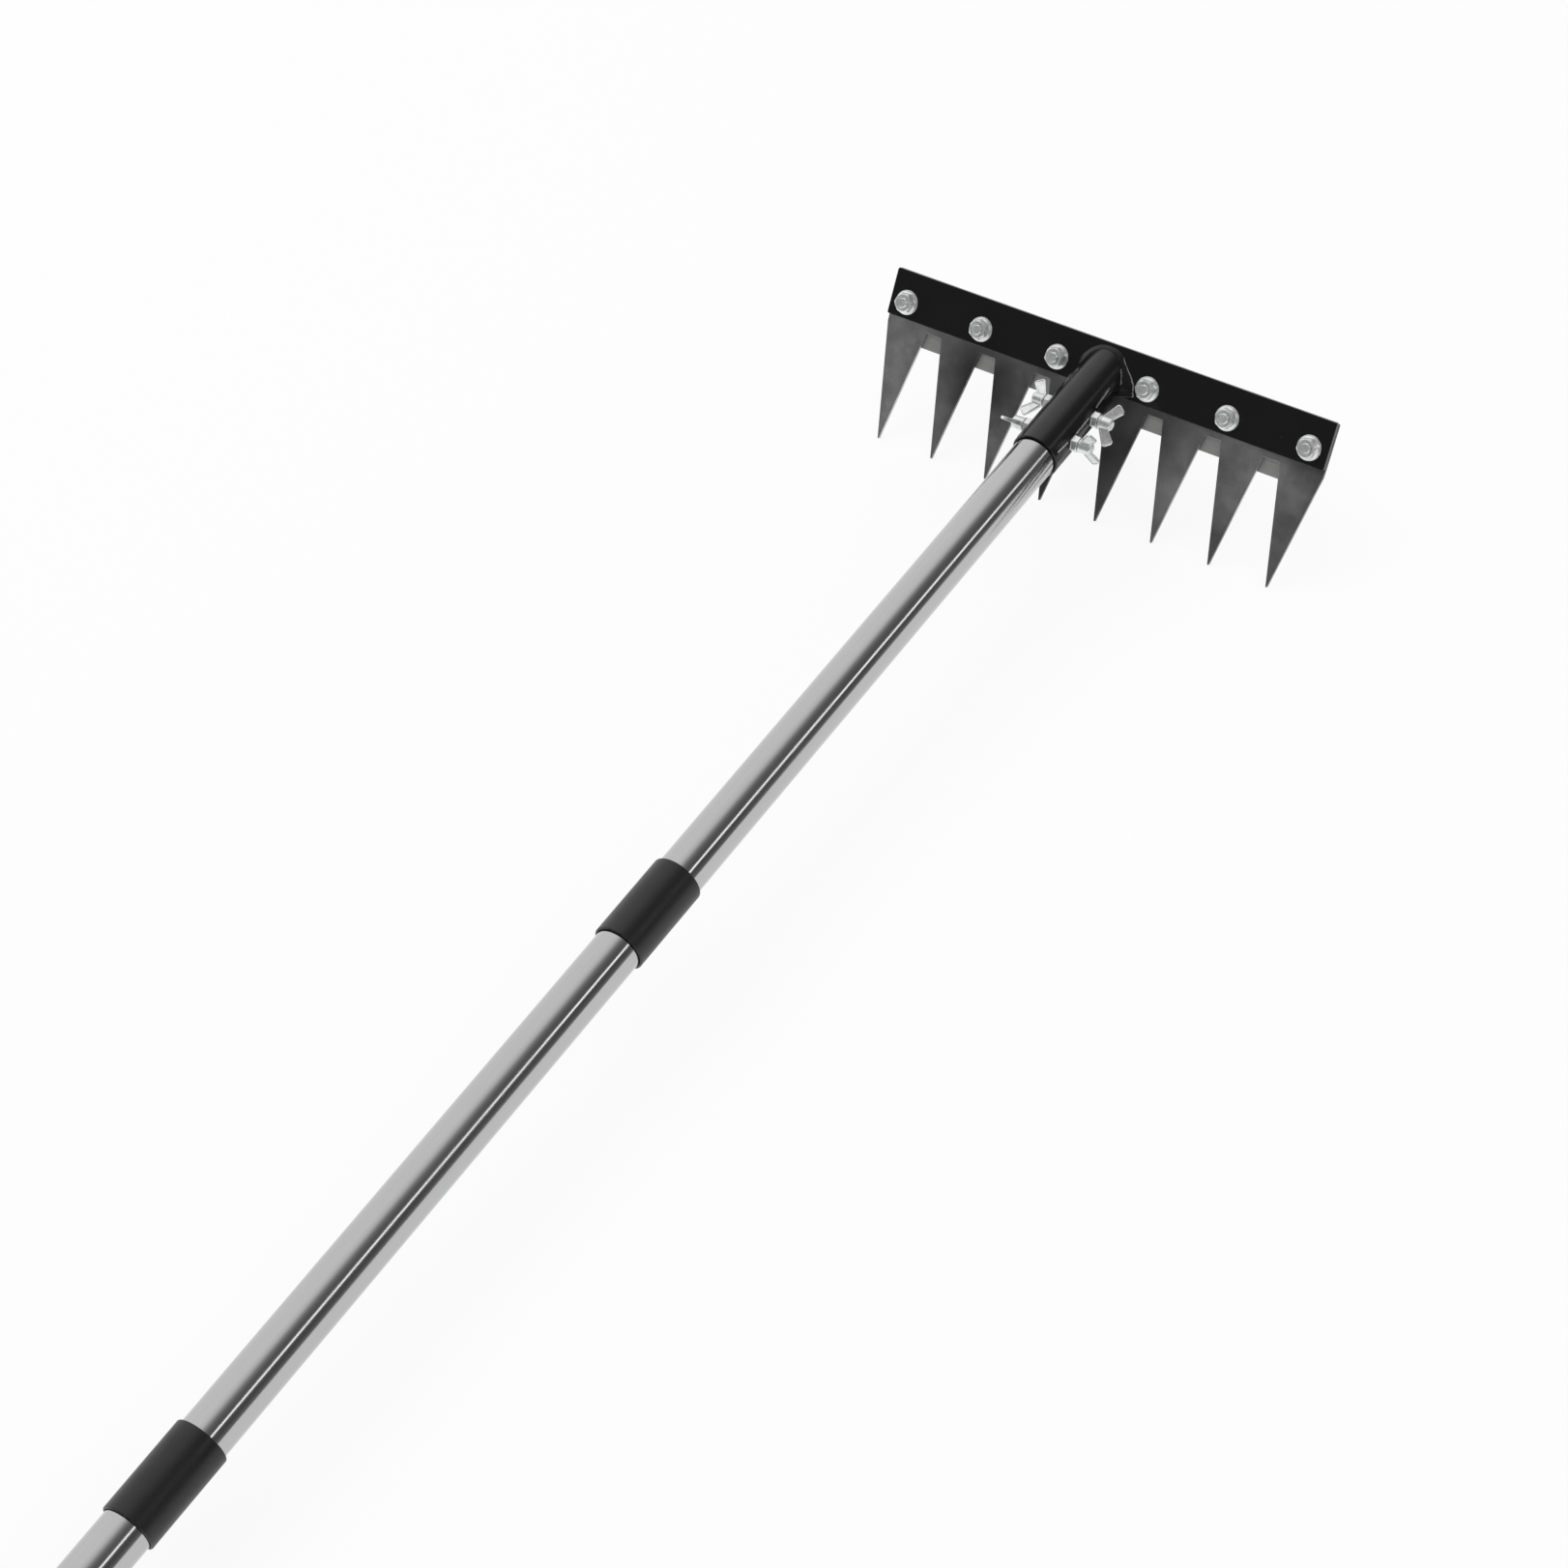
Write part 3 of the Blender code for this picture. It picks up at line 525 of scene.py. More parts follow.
plasticLook = {
    "colour": (0.0065, 0.0065, 0.0068, 1.0),
    "scuff": (0.045, 0.045, 0.046, 1.0),
    "wearSize": 500.0, "wornFrom": 0.42, "wornSoftness": 0.2,
    "grainSize": 1900.0, "coarseShare": 0.2, "relief": 0.03,
    "filmSize": 35.0, "roughLow": 0.34, "roughHigh": 0.44, "metallic": 0.0,
}


def plasticInputs(tree, look, given):
    # Satin moulded plastic with scuffed edges
    wear = wearAndHighlightIn(tree, given["spot"], look)
    return {"Base Color": mixIn(tree, wear, look["colour"], look["scuff"])}


blackPaint = makeFinish("glossBlackPaint", "black_paint", paintLook, paintInputs)
toothSteel = makeFinish("rolledToothSteel", "tooth_steel", toothLook, toothInputs)
stripSteel = makeFinish("bareStripSteel", "bare_steel", stripLook, linedInputs)
zincPlate = makeFinish("brightZincPlate", "zinc_plate", zincLook, zincInputs)
stainless = makeFinish("polishedStainless", "stainless_tube", tubeLook, linedInputs)
blackPlastic = makeFinish("satinBlackPlastic", "black_plastic", plasticLook, plasticInputs)
print("finishes made: 6 materials, 4 shared groups")


# Bar, tooth plate and backing strip

barSizes = {
    "length": 280.0, "thick": 3.0, "above": 20.5, "below": 6.5, "corner": 1.2, "edge": 0.45,
    "cornerSteps": 9, "edgeSteps": 7,
}
plateSizes = {
    "teeth": 8, "toothLength": 67.3, "thick": 2.0, "setDown": 1.0, "rootBelowBar": 4.3,
    "rootGap": 10.0, "tipWidth": 0.8, "rootFillet": 0.7, "tipRound": 0.3, "cornerRound": 0.8,
    "edge": 0.2, "cornerSteps": 7, "edgeSteps": 5,
}
stripSizes = {
    "thick": 2.5, "belowRoot": 9.4, "setDown": 8.0, "setIn": 5.0, "corner": 0.7, "edge": 0.3,
    "cornerSteps": 7, "edgeSteps": 5,
}
barHalf = barSizes["length"] / 2.0
rootLevel = -(barSizes["below"] + plateSizes["rootBelowBar"])
plateTop = barSizes["above"] - plateSizes["setDown"]
plateFront = -barSizes["thick"] - gap
stripFront = plateFront - plateSizes["thick"] - gap
boltSeat = stripFront - stripSizes["thick"] - gap


def mitresOf(outline):
    # At each corner of an outline that runs anticlockwise, the step inwards that moves both of
    # its sides in by one: the sum of their normals over one plus the product of the two
    side = np.roll(outline, -1, axis=0) - outline
    side = side / np.linalg.norm(side, axis=1)[:, None]
    inward = np.stack([-side[:, 1], side[:, 0]], axis=1)
    before = np.roll(inward, 1, axis=0)
    return (inward + before) / (1.0 + (inward * before).sum(axis=1))[:, None]


def addPlate(name, corners, radii, front, look, finish, node):
    # The rounded outline moved inwards along its mitres while the height goes round a quarter
    # circle: inset = e (1 - sin a), height = low + e (1 - cos a), then mirrored at the front
    high, low, edge = front * mm, (front - look["thick"]) * mm, look["edge"] * mm
    corners, radii = np.array(corners) * mm, np.array(radii) * mm
    outline = roundedCorners(corners, radii, True, look["cornerSteps"])[0]
    mitre = mitresOf(outline)
    swing = np.linspace(0.0, quarterTurn, look["edgeSteps"])
    inset = np.concatenate([[edge + meshRules["hold"]], edge * (1.0 - np.sin(swing))])
    rise = np.concatenate([[0.0], edge * (1.0 - np.cos(swing))])
    worn = np.concatenate([[0.0], np.sin(2.0 * swing)])
    inset = np.concatenate([inset, inset[::-1]])
    height = np.concatenate([low + rise, high - rise[::-1]])[:, None, None]
    flat = outline[None, :, :] + inset[:, None, None] * mitre[None, :, :]
    grid = np.concatenate([flat, np.broadcast_to(height, flat.shape[:2] + (1,))], axis=2)
    patch = patchOf(grid, np.concatenate([worn, worn[::-1]]), capped=True)
    addPiece(name, [patch], headFrame, finish, "head", [node])


def boxOf(half, top, bottom):
    return [(half, top), (-half, top), (-half, bottom), (half, bottom)]


def makeBar():
    corners = boxOf(barHalf, barSizes["above"], -barSizes["below"])
    addPlate("frontBar", corners, [barSizes["corner"]] * 4, 0.0, barSizes, blackPaint, "bar")


def makeToothPlate():
    # Top corners, then each tooth in turn: root, tip, tip, root
    look = plateSizes
    pitch = (barSizes["length"] + look["rootGap"]) / look["teeth"]
    width = pitch - look["rootGap"]
    run = (width - look["tipWidth"]) / 2.0
    tip = rootLevel - look["toothLength"]
    corners = [(barHalf, plateTop), (-barHalf, plateTop)]
    radii = [look["cornerRound"]] * 2
    for tooth in range(look["teeth"]):
        left = -barHalf + tooth * pitch
        right = left + width
        corners += [(left, rootLevel), (left + run, tip), (right - run, tip), (right, rootLevel)]
        radii += [look["rootFillet"], look["tipRound"], look["tipRound"], look["rootFillet"]]
    radii[2] = radii[-1] = look["cornerRound"]
    addPlate("eightToothPlate", corners, radii, plateFront, look, toothSteel, "tooth_plate")


def makeBackingStrip():
    look = stripSizes
    top, bottom = plateTop - look["setDown"], rootLevel - look["belowRoot"]
    corners = boxOf(barHalf - look["setIn"], top, bottom)
    radii = [look["corner"]] * 4
    addPlate("backStrip", corners, radii, stripFront, look, stripSteel, "backing_strip")


makeBar()
makeToothPlate()
makeBackingStrip()
print("bar, tooth plate and strip made")


# Bolts and flange nuts

socketSizes = {
    "radius": 14.0, "bore": 12.8, "reach": 70.0, "lip": 0.45, "innerLip": 0.6, "lipSteps": 8,
    "columns": 128,
}
boltSizes = {
    "fromSocket": 14.9, "fromEnd": 11.2, "aboveAxis": 3.0, "radius": 3.0, "pitch": 1.0,
    "threadDepth": 0.5, "headHeight": 4.0, "across": 10.0, "tipCut": 0.6, "pastNut": 0.7,
    "chamferFlat": 4.75, "chamferDepth": 0.7, "seatCut": 0.15, "shankEnd": -4.05,
    "threadFrom": -4.0, "tipFlat": 1.2, "tipDimple": 0.12, "turnStep": 0.35, "columns": 96,
    "chamferRows": 12,
}
nutSizes = {
    "height": 5.4, "across": 10.0, "flangeRadius": 7.1, "flangeEdge": 0.9, "coneHeight": 2.2,
    "coneRadius": 4.9, "coneCurve": 0.8, "coneBlend": 18, "coneFrom": 0.02, "coneLap": 1.0,
    "leastCone": 0.1, "washer": 4.7, "bodyFrom": 0.9, "chamferDepth": 0.62, "bore": 3.12,
    "boreCut": 0.5, "boreRim": (0.08, 0.06),
    "turns": (8.0, 34.0, 21.0, 2.0, 47.0, 15.0), "sharpAngle": 28.0, "columns": 144,
    "rimRows": 11, "coneRows": 22, "chamferRows": 16,
}


def boltPlaces():
    inner = socketSizes["radius"] + boltSizes["fromSocket"]
    outer = barHalf - boltSizes["fromEnd"]
    right = np.array([inner, (inner + outer) / 2.0, outer])
    return np.concatenate([-right[::-1], right])


def makeBolts():
    # Chamfered head, plain shank, thread as far as its tip, with a small dimple in the tip
    look = boltSizes
    back = boltSeat - look["headHeight"]
    tip = gap + nutSizes["height"] + look["pastNut"]
    headHeight = np.concatenate([
        back + np.linspace(0.0, look["chamferDepth"], look["chamferRows"]),
        [boltSeat - look["seatCut"], boltSeat],
    ])
    turn = turnsOf(look["columns"])
    headRadius = chamferedHexagon(turn, look["across"], look["chamferFlat"], headHeight - back)
    headRadius[-1] -= look["seatCut"]
    threadRadius, threadHeight = threadedRod(look["threadFrom"], tip, look)
    threadRadius[0] = look["radius"]
    radii = [[0.0], headRadius, [look["radius"]] * 2, threadRadius, [look["tipFlat"], 0.0]]
    shank, end = [boltSeat, look["shankEnd"]], [tip, tip - look["tipDimple"]]
    heights = [[back], headHeight, shank, threadHeight, end]
    patch = patchOf(revolved(radii, heights, look["columns"]))
    for number, place in enumerate(boltPlaces(), 1):
        turn = look["turnStep"] * number
        spot = shifted(headFrame, place * mm, look["aboveAxis"] * mm, turn=turn)
        addPiece("nutBolt%d" % number, [patch], spot, zincPlate, "head", ["bolt_%d" % number])


def makeFlangeNuts():
    # Height by height: the flange's round edge, then its cone blended into the hexagon by a high
    # power mean, then the hexagon inside the top chamfer, and the bore
    look = nutSizes
    turn = turnsOf(look["columns"])
    top, rim, flange = gap + look["height"], look["flangeEdge"], look["flangeRadius"]
    swing = np.linspace(-quarterTurn, quarterTurn, look["rimRows"])
    rimHeight = gap + rim / 2.0 * (1.0 + np.sin(swing))
    rimRadius = flange - rim / 2.0 * (1.0 - np.cos(swing))
    coneTop = look["coneHeight"] - rim + look["coneLap"]
    coneHeight = gap + rim + np.linspace(look["coneFrom"], coneTop, look["coneRows"])
    share = np.clip((coneHeight - gap - rim) / (look["coneHeight"] - rim), 0.0, None)
    wide, blend = flange - rim / 2.0, look["coneBlend"]
    slope = wide - (wide - look["coneRadius"]) * share ** look["coneCurve"]
    slope = np.maximum(slope, look["leastCone"])[:, None]
    hexagon = softHexagon(turn, look["across"])[None, :]
    coneRadius = (hexagon ** blend + slope ** blend) ** (1.0 / blend)
    chamfer = np.linspace(look["chamferDepth"], 0.0, look["chamferRows"])
    bodyHeight = top - np.concatenate([[look["bodyFrom"]], chamfer])
    bodyRadius = chamferedHexagon(turn, look["across"], look["washer"], top - bodyHeight)
    bore, cut = look["bore"], look["boreCut"]
    rimOut, rimDown = look["boreRim"]
    radii = [rimRadius, coneRadius, bodyRadius, [bore + cut + rimOut, bore + cut, bore, bore]]
    heights = [rimHeight, coneHeight, bodyHeight, [top, top - rimDown, top - cut, gap]]
    patch = patchOf(revolved(radii, heights, look["columns"]), loopRows=True)
    for number, (place, turn) in enumerate(zip(boltPlaces(), look["turns"]), 1):
        spot = shifted(headFrame, place * mm, boltSizes["aboveAxis"] * mm, turn=math.radians(turn))
        addPiece("flangedNut%d" % number, [patch], spot, zincPlate, "head",
                 ["flange_nut_%d" % number], look["sharpAngle"])


makeBolts()
makeFlangeNuts()
print("bolts and flange nuts made: 6 of each")


# Socket, its weld and the nuts on its sides

# Angles run round the socket from its upper side; legs and heights of the fillet are at them
weldSizes = {
    "angles": (-108, -84, -55, -25, 0, 30, 52, 68, 84, 108),
    "legs": (4.2, 3.0, 1.8, 1.3, 1.2, 2.0, 1.7, 3.2, 6.2, 9.2),
    "heights": (3.2, 2.6, 1.8, 1.3, 1.3, 1.8, 2.4, 3.0, 3.2, 3.2),
    "rows": 420, "columns": 28, "smoothedOver": 31, "ripplePitch": 1.3, "rippleDepth": 0.01,
    "wander": ((0.035, 0.53, 0.0), (0.02, 1.3, 1.0)), "fullness": 1.8, "endLength": 2.4,
    # The rubbed lines set here, on the toe and part of the root, are bare metal that serves as a
    # painted highlight too
    "offTube": 0.06, "offBar": 0.09, "rubbedHighlightFrom": 27.0, "rubbedHighlightRoot": (46.0, 88.0),
    "rubbedHighlightFade": (15.0, 8.0, 12.0), "rubbedHighlightWidth": 0.42, "rubbedHighlight": 2.2, "sharpAngle": 50.0,
}
beadSizes = {
    "spans": ((10.6, 26.8), (34.5, 48.4), (56.2, 66.7)),
    "along": (10.6, 26.8, 34.5, 48.4, 56.2, 66.7), "angles": (61.4, 67.7, 70.7, 71.5, 69.7, 66.1),
    # Crest lines of bare metal: rubbed paint and a painted highlight
    "halfWidth": 0.85, "height": 0.36, "sunk": 0.03, "endLength": 1.4, "rubbedHighlight": 2.2,
    "sharpAngle": 50.0, "rows": 60, "columns": 17,
}
screwSizes = {
    "fromMouth": 18.5, "spacing": 21.2, "nutHeight": 3.2, "across": 8.0, "washer": 3.75,
    "chamferDepth": 0.65, "bore": 2.62, "boreCut": 0.5, "boreSunk": 0.9, "footFlare": 0.35,
    "sharpAngle": 28.0, "columns": 144, "footRows": 14, "chamferRows": 14,
}


def footLevel(radius, turn):
    # Where a line of the tube meets the bar's face: along = (gap - y cos 54) / sin 54
    across = radius * np.cos(turn)
    return (gap * mm - across * math.cos(poleToTeeth)) / math.sin(poleToTeeth)


def makeSocket():
    # Outer wall from its slanted foot to the rounded mouth, and the bore back to its own foot
    look = socketSizes
    turn = turnsOf(look["columns"])
    radius, bore, reach, lip = (look[key] * mm for key in ("radius", "bore", "reach", "lip"))
    corners = [(radius, reach / 2.0), (radius, reach), (bore, reach), (bore, reach / 2.0)]
    radii = [0.0, lip, lip * look["innerLip"], 0.0]
    rim, worn = roundedCorners(corners, radii, False, look["lipSteps"])
    feet = [footLevel(radius, turn)], [footLevel(bore, turn)]
    # The tube's turn runs from its upper side, which is Y of the pole's frame
    grid = revolved(
        [[radius], rim[:, 0], [bore]], [feet[0], rim[:, 1], feet[1]], look["columns"], 1.0
    )[..., [1, 0, 2]]
    patch = patchOf(grid, np.concatenate([[0.0], worn, [0.0]]), loopRows=True)
    addPiece("socketTube", [patch], poleFrame, blackPaint, "head", ["socket_tube"])


def socketFoot(radius, turn, height):
    # Point of the tube's wall at a height over the bar's face, in the head's frame
    x = radius * np.sin(turn)
    y = -height / math.tan(poleToTeeth) + radius / math.sin(poleToTeeth) * np.cos(turn)
    return np.stack([x, y, height + 0.0 * turn], axis=-1)


def bluntEnds(along, start, end, length, least=0.02):
    # A quarter circle up over a length at each end, root of 1 - (1 - share) squared, plus least
    share = np.clip(np.minimum(along - start, end - along) / length, 0.0, 1.0)
    return np.sqrt(np.clip(1.0 - (1.0 - share) ** 2, 0.0, 1.0)) + least


def makeSocketWeld():
    # Fillet along the foot: leg times a power of the cosine and height times a power of the sine
    # of a quarter turn, with faint ripples along the foot, drawn in at both ends
    look = weldSizes
    reach = math.radians(look["angles"][-1])
    turn = np.linspace(-reach, reach, look["rows"])
    degrees = np.degrees(turn)
    window = np.hanning(look["smoothedOver"])
    tables = (np.interp(degrees, look["angles"], look[key]) for key in ("legs", "heights"))
    leg, height = (
        np.convolve(np.pad(table, len(window) // 2, "edge"), window / window.sum(), "valid")
        for table in tables
    )
    near = (socketSizes["radius"] + look["offTube"]) * mm
    offBar = look["offBar"] * mm
    root = socketFoot(near, turn, offBar)
    wall = socketFoot(near, turn, offBar + height * mm) - root
    out = np.stack([np.sin(turn), np.maximum(np.cos(turn), 0.0), 0.0 * turn], axis=-1)
    travel = np.concatenate([[0.0], np.cumsum(np.linalg.norm(np.diff(root, axis=0), axis=1))])
    phase = np.mod(travel / (look["ripplePitch"] * mm), 1.0)
    ripple = 1.0 - look["rippleDepth"] * (0.5 - 0.5 * np.cos(fullTurn * phase))
    wander = 1.0 + sum(size * np.sin(travel / mm * rate + at) for size, rate, at in look["wander"])
    taper = bluntEnds(travel, 0.0, travel[-1], look["endLength"] * mm)
    size = (ripple * wander * taper)[:, None, None]
    swing = np.linspace(0.0, quarterTurn, look["columns"])
    across = (np.cos(swing) ** look["fullness"])[None, :, None]
    upward = (np.sin(swing) ** look["fullness"])[None, :, None]
    legs = (leg[:, None] * mm * out)[:, None, :]
    bead = root[:, None, :] + size * (across * legs + upward * wall[:, None, :])
    grid = np.concatenate([root[:, None, :], bead], axis=1)
    grid[..., 1] = np.maximum(grid[..., 1], (gap - barSizes["below"]) * mm)
    # Bare metal in a line along the toe on the right, and along part of the root: rubbed paint
    # that also serves as a painted highlight
    degrees = degrees[:, None]
    fade, fadeLow, fadeHigh = look["rubbedHighlightFade"]
    low, high = look["rubbedHighlightRoot"]
    toeHighlightLine = np.exp(-((swing / look["rubbedHighlightWidth"]) ** 2))
    toeHighlightLine = toeHighlightLine * np.clip((degrees - look["rubbedHighlightFrom"]) / fade, 0.0, 1.0)
    rootHighlightLine = np.exp(-(((quarterTurn - swing) / look["rubbedHighlightWidth"]) ** 2))
    rootHighlightLine = rootHighlightLine * np.clip((degrees - low) / fadeLow, 0.0, 1.0)
    rootHighlightLine = rootHighlightLine * np.clip((high - degrees) / fadeHigh, 0.0, 1.0)
    worn = np.pad(look["rubbedHighlight"] * np.maximum(toeHighlightLine, rootHighlightLine), ((0, 0), (1, 0)))
    addPiece("socketFootWeld", [patchOf(grid, worn, capped=True)], headFrame, blackPaint, "head",
             ["socket_weld"], look["sharpAngle"])


def makeSideBeads():
    # Low beads along the socket beside its nuts: half an ellipse across, carried along the tube
    # at an angle that is read from a short table, drawn in at its ends, their crests bare metal:
    # rubbed paint that also serves as a painted highlight
    look = beadSizes
    tube = socketSizes["radius"]
    swing = np.linspace(0.0, math.pi, look["columns"])[None, :]
    # Bare metal along each crest: rubbed paint and a painted highlight
    worn = look["rubbedHighlight"] * np.sin(swing) ** 2 * np.ones((look["rows"], 1))
    patches = []
    for side in (1.0, -1.0):
        for start, end in look["spans"]:
            along = start + (end - start) * np.linspace(0.0, 1.0, look["rows"])
            angle = np.radians(np.interp(along, look["along"], look["angles"]))
            taper = bluntEnds(along, start, end, look["endLength"])[:, None]
            radius = tube - look["sunk"] + look["height"] * np.sin(swing) * taper
            turned = side * (angle[:, None] + look["halfWidth"] / tube * np.cos(swing) * taper)
            grid = np.stack([
                radius * np.sin(turned), radius * np.cos(turned), along[:, None] + 0.0 * turned,
            ], axis=-1) * mm
            patches.append(patchOf(grid, worn, capped=True))
    addPiece("socketSideBeads", patches, poleFrame, blackPaint, "head", [], look["sharpAngle"])


def eachScrew():
    # Key, name ending and frame of the four wing screws
    second = socketSizes["reach"] - screwSizes["fromMouth"]
    found = []
    for number, place in enumerate((second - screwSizes["spacing"], second), 1):
        for word, side in (("right", 1.0), ("left", -1.0)):
            ending = "%s%d" % (word.title(), number)
            found.append(("%s_%d" % (word, number), ending, screwFrame(place * mm, side)))
    return found


def makeWeldNuts():
    # Hexagon column standing on the tube: its foot follows the tube's own surface,
    # z = root of (tube radius squared - y squared), and flares a little where it is welded
    look = screwSizes
    turn = turnsOf(look["columns"])
    tube, flare, cut = socketSizes["radius"], look["footFlare"], look["boreCut"]
    face = tube + look["nutHeight"]
    lift = np.linspace(0.0, 1.0, look["footRows"])[:, None]
    footRadius = softHexagon(turn, look["across"])[None, :] + flare * (1.0 - lift) ** 2
    footHeight = np.sqrt(tube ** 2 - (footRadius * np.sin(turn)) ** 2) + lift * flare
    bodyHeight = face - np.linspace(look["chamferDepth"], 0.0, look["chamferRows"])
    bodyRadius = chamferedHexagon(turn, look["across"], look["washer"], face - bodyHeight)
    grid = revolved(
        [footRadius, bodyRadius, [look["bore"] + cut, look["bore"], look["bore"]]],
        [footHeight, bodyHeight, [face, face - cut, tube - look["boreSunk"]]], look["columns"],
    )
    patch = patchOf(grid, loopRows=True)
    for key, ending, spot in eachScrew():
        addPiece("sideNut" + ending, [patch], spot, zincPlate, "head", ["weld_nut_" + key],
                 look["sharpAngle"])


makeSocket()
makeSocketWeld()
makeSideBeads()
makeWeldNuts()
print("socket, weld and side nuts made")


# Wing screws

wingSizes = {
    "hubRadius": 4.0, "hubTaper": 0.7, "hubHeight": 7.6, "hubEdge": 0.45, "hubDome": 1.3,
    "shoulder": (0.25, 0.9, 1.5), "shoulderRound": 0.3, "boreDepth": 4.6, "bore": 2.65,
    "boreRound": 0.2,
    "reach": 12.2, "thick": 1.8, "rimWidth": 0.85, "recess": 0.38, "edge": 0.42,
    "earFoot": 1.0, "earStart": 2.6, "startWidth": 4.6, "endWidth": 6.6, "corner": 1.8,
    "startCorner": 0.9, "leastCorner": 0.2, "cornerHold": 0.02, "tilt": 38.0, "cornerSteps": 12,
    "rimSteps": (0.45, 0.14, 0.04, -0.12), "recessSteps": (1.0, 0.9, 0.2, 0.0),
    "rimWorn": (0.0, 0.0, 0.6, 0.7), "edgeWorn": 0.9, "swell": 0.5, "swellLength": 1.1,
    "turns": {"right_1": 37.0, "left_1": -17.0, "right_2": 97.0, "left_2": 47.0},
    "columns": 96, "hubSteps": 7, "edgeRows": 7,
}
studSizes = {
    "radius": 2.5, "pitch": 0.8, "threadDepth": 0.42, "tipCut": 0.45, "shortOfBore": 0.2,
    "columns": 64,
}


def hubPatch(look):
    # Tapered hub with rounded rims and a blind bore, turned about its axis
    outer, top, bore, depth = look["hubRadius"], look["hubHeight"], look["bore"], look["boreDepth"]
    stepIn, stepFrom, stepTo = look["shoulder"]
    corners = [
        (0.0, depth), (bore, depth), (bore, 0.0), (outer, 0.0), (outer, stepFrom),
        (outer - stepIn, stepTo), (outer - look["hubTaper"], top), (0.0, top),
    ]
    soft = look["shoulderRound"]
    radii = [0.0, 0.0, look["boreRound"], look["hubEdge"], soft, soft, look["hubDome"], 0.0]
    return turnedPatch(corners, radii, look["hubSteps"], look["columns"], False)


def earPatch(look, side):
    # Paddle that widens to its round-cornered end, tilted up from the hub. Its outline moves in
    # along its mitres while the thickness goes from the recess over the raised rim to the edge:
    # inset = e (1 - sin a), half thickness = h - e (1 - cos a), and swells where it meets the hub
    tilt = math.radians(look["tilt"])
    c, s = math.cos(tilt), math.sin(tilt)
    start, corner, startCorner = look["earStart"], look["corner"], look["startCorner"]
    halfEnd, halfStart = look["endWidth"] / 2.0, look["startWidth"] / 2.0
    end = (look["reach"] - corner - halfEnd * s + corner * (c + s)) / c
    corners = np.array([(start, -halfStart), (end, -halfEnd), (end, halfEnd), (start, halfStart)])
    mitre = mitresOf(corners)
    radii = np.array([startCorner, corner, corner, startCorner])
    half = look["thick"] / 2.0
    swing = np.linspace(0.0, quarterTurn, look["edgeRows"])
    inset = np.concatenate([
        look["rimWidth"] + np.array(look["rimSteps"]), look["edge"] * (1.0 - np.sin(swing)),
    ])
    height = np.concatenate([
        half - look["recess"] * np.array(look["recessSteps"]),
        half - look["edge"] * (1.0 - np.cos(swing)),
    ])
    worn = np.concatenate([look["rimWorn"], look["edgeWorn"] * np.ones(len(swing))])
    rows = [
        roundedCorners(
            corners + step * mitre, np.maximum(radii - step, look["leastCorner"]), True,
            look["cornerSteps"], look["cornerHold"],
        )[0]
        for step in inset
    ]
    # The middle of the paddle closes the grid on each face
    rows = np.array([np.broadcast_to(rows[0].mean(axis=0), rows[0].shape)] + rows)
    height = np.concatenate([height[:1], height])
    worn = np.concatenate([[0.0], worn])
    rows = np.concatenate([rows, rows[::-1]])
    height = np.concatenate([height, -height[::-1]])
    x = rows[..., 0] * c - rows[..., 1] * s
    z = look["earFoot"] + rows[..., 0] * s + rows[..., 1] * c
    fromHub = (x - look["hubRadius"]) / look["swellLength"]
    y = height[:, None] * (1.0 + look["swell"] * np.exp(-fromHub ** 2))
    grid = np.stack([side * x, side * y, z], axis=-1) * mm
    return patchOf(grid, np.concatenate([worn, worn[::-1]]))


def makeWingScrews():
    # A stud from beside the pole to near the end of the hub's bore, and the head on it
    face = socketSizes["radius"] + screwSizes["nutHeight"]
    low = rakeStance["poleRadius"] + gap
    high = face + wingSizes["boreDepth"] - studSizes["shortOfBore"]
    radius, height = threadedRod(low, high, studSizes)
    stud = patchOf(revolved([[0.0], radius, [0.0]], [[low], height, [high]], studSizes["columns"]))
    head = [hubPatch(wingSizes), earPatch(wingSizes, 1.0), earPatch(wingSizes, -1.0)]
    for key, ending, spot in eachScrew():
        node = "wing_stud_" + key
        addPiece("screwStud" + ending, [stud], spot, zincPlate, node, [node])
        turn = math.radians(wingSizes["turns"][key])
        spot = shifted(spot, z=face * mm + gap * mm, turn=turn)
        node = "wing_head_" + key
        addPiece("wingHead" + ending, head, spot, zincPlate, node, [node])


makeWingScrews()
print("wing screws made: 4 studs and 4 heads")


# Pole

poleSizes = {
    "sections": 4, "wall": 1.0, "edge": 0.25, "footGap": 1.5, "firstJoint": 432.5, "pitch": 363.5,
    "lastSection": 338.5, "endGap": 0.6, "edgeSteps": 6, "columns": 160,
}
couplerSizes = {
    "length": 50.0, "bore": 12.8, "wall": 1.2, "edge": 0.8, "innerEdge": 0.15, "edgeSteps": 9,
    "columns": 128,
}
spigotSizes = {
    "inside": 26.0, "out": 27.0, "plugRadius": 11.2, "plugCut": 0.4, "radius": 9.2, "wall": 2.7,
    "pitch": 4.0, "threadDepth": 1.1, "tipCut": 1.0, "threadGap": 0.02, "rowsPerPitch": 20,
    "columns": 96,
}
ferruleSizes = {"length": 26.0, "bore": 9.5, "rimCut": 0.3, "rows": 131, "columns": 96}
capSizes = {
    "cover": 34.0, "dome": 6.0, "pastTube": 7.5, "wall": 1.2, "plugLength": 15.0, "plugEdge": 2.0,
    "plugTaper": 1.5, "plugRound": 0.4, "mouthRound": 0.15, "grooveAt": (8.0, 11.0, 14.0),
    "grooveWidth": 0.7, "grooveDepth": 0.35, "grooveRounds": (0.15, 0.1, 0.1, 0.15),
    "edgeSteps": 12, "columns": 128,
}
jointPlaces = [
    poleSizes["firstJoint"] + poleSizes["pitch"] * step
    for step in range(poleSizes["sections"] - 1)
]
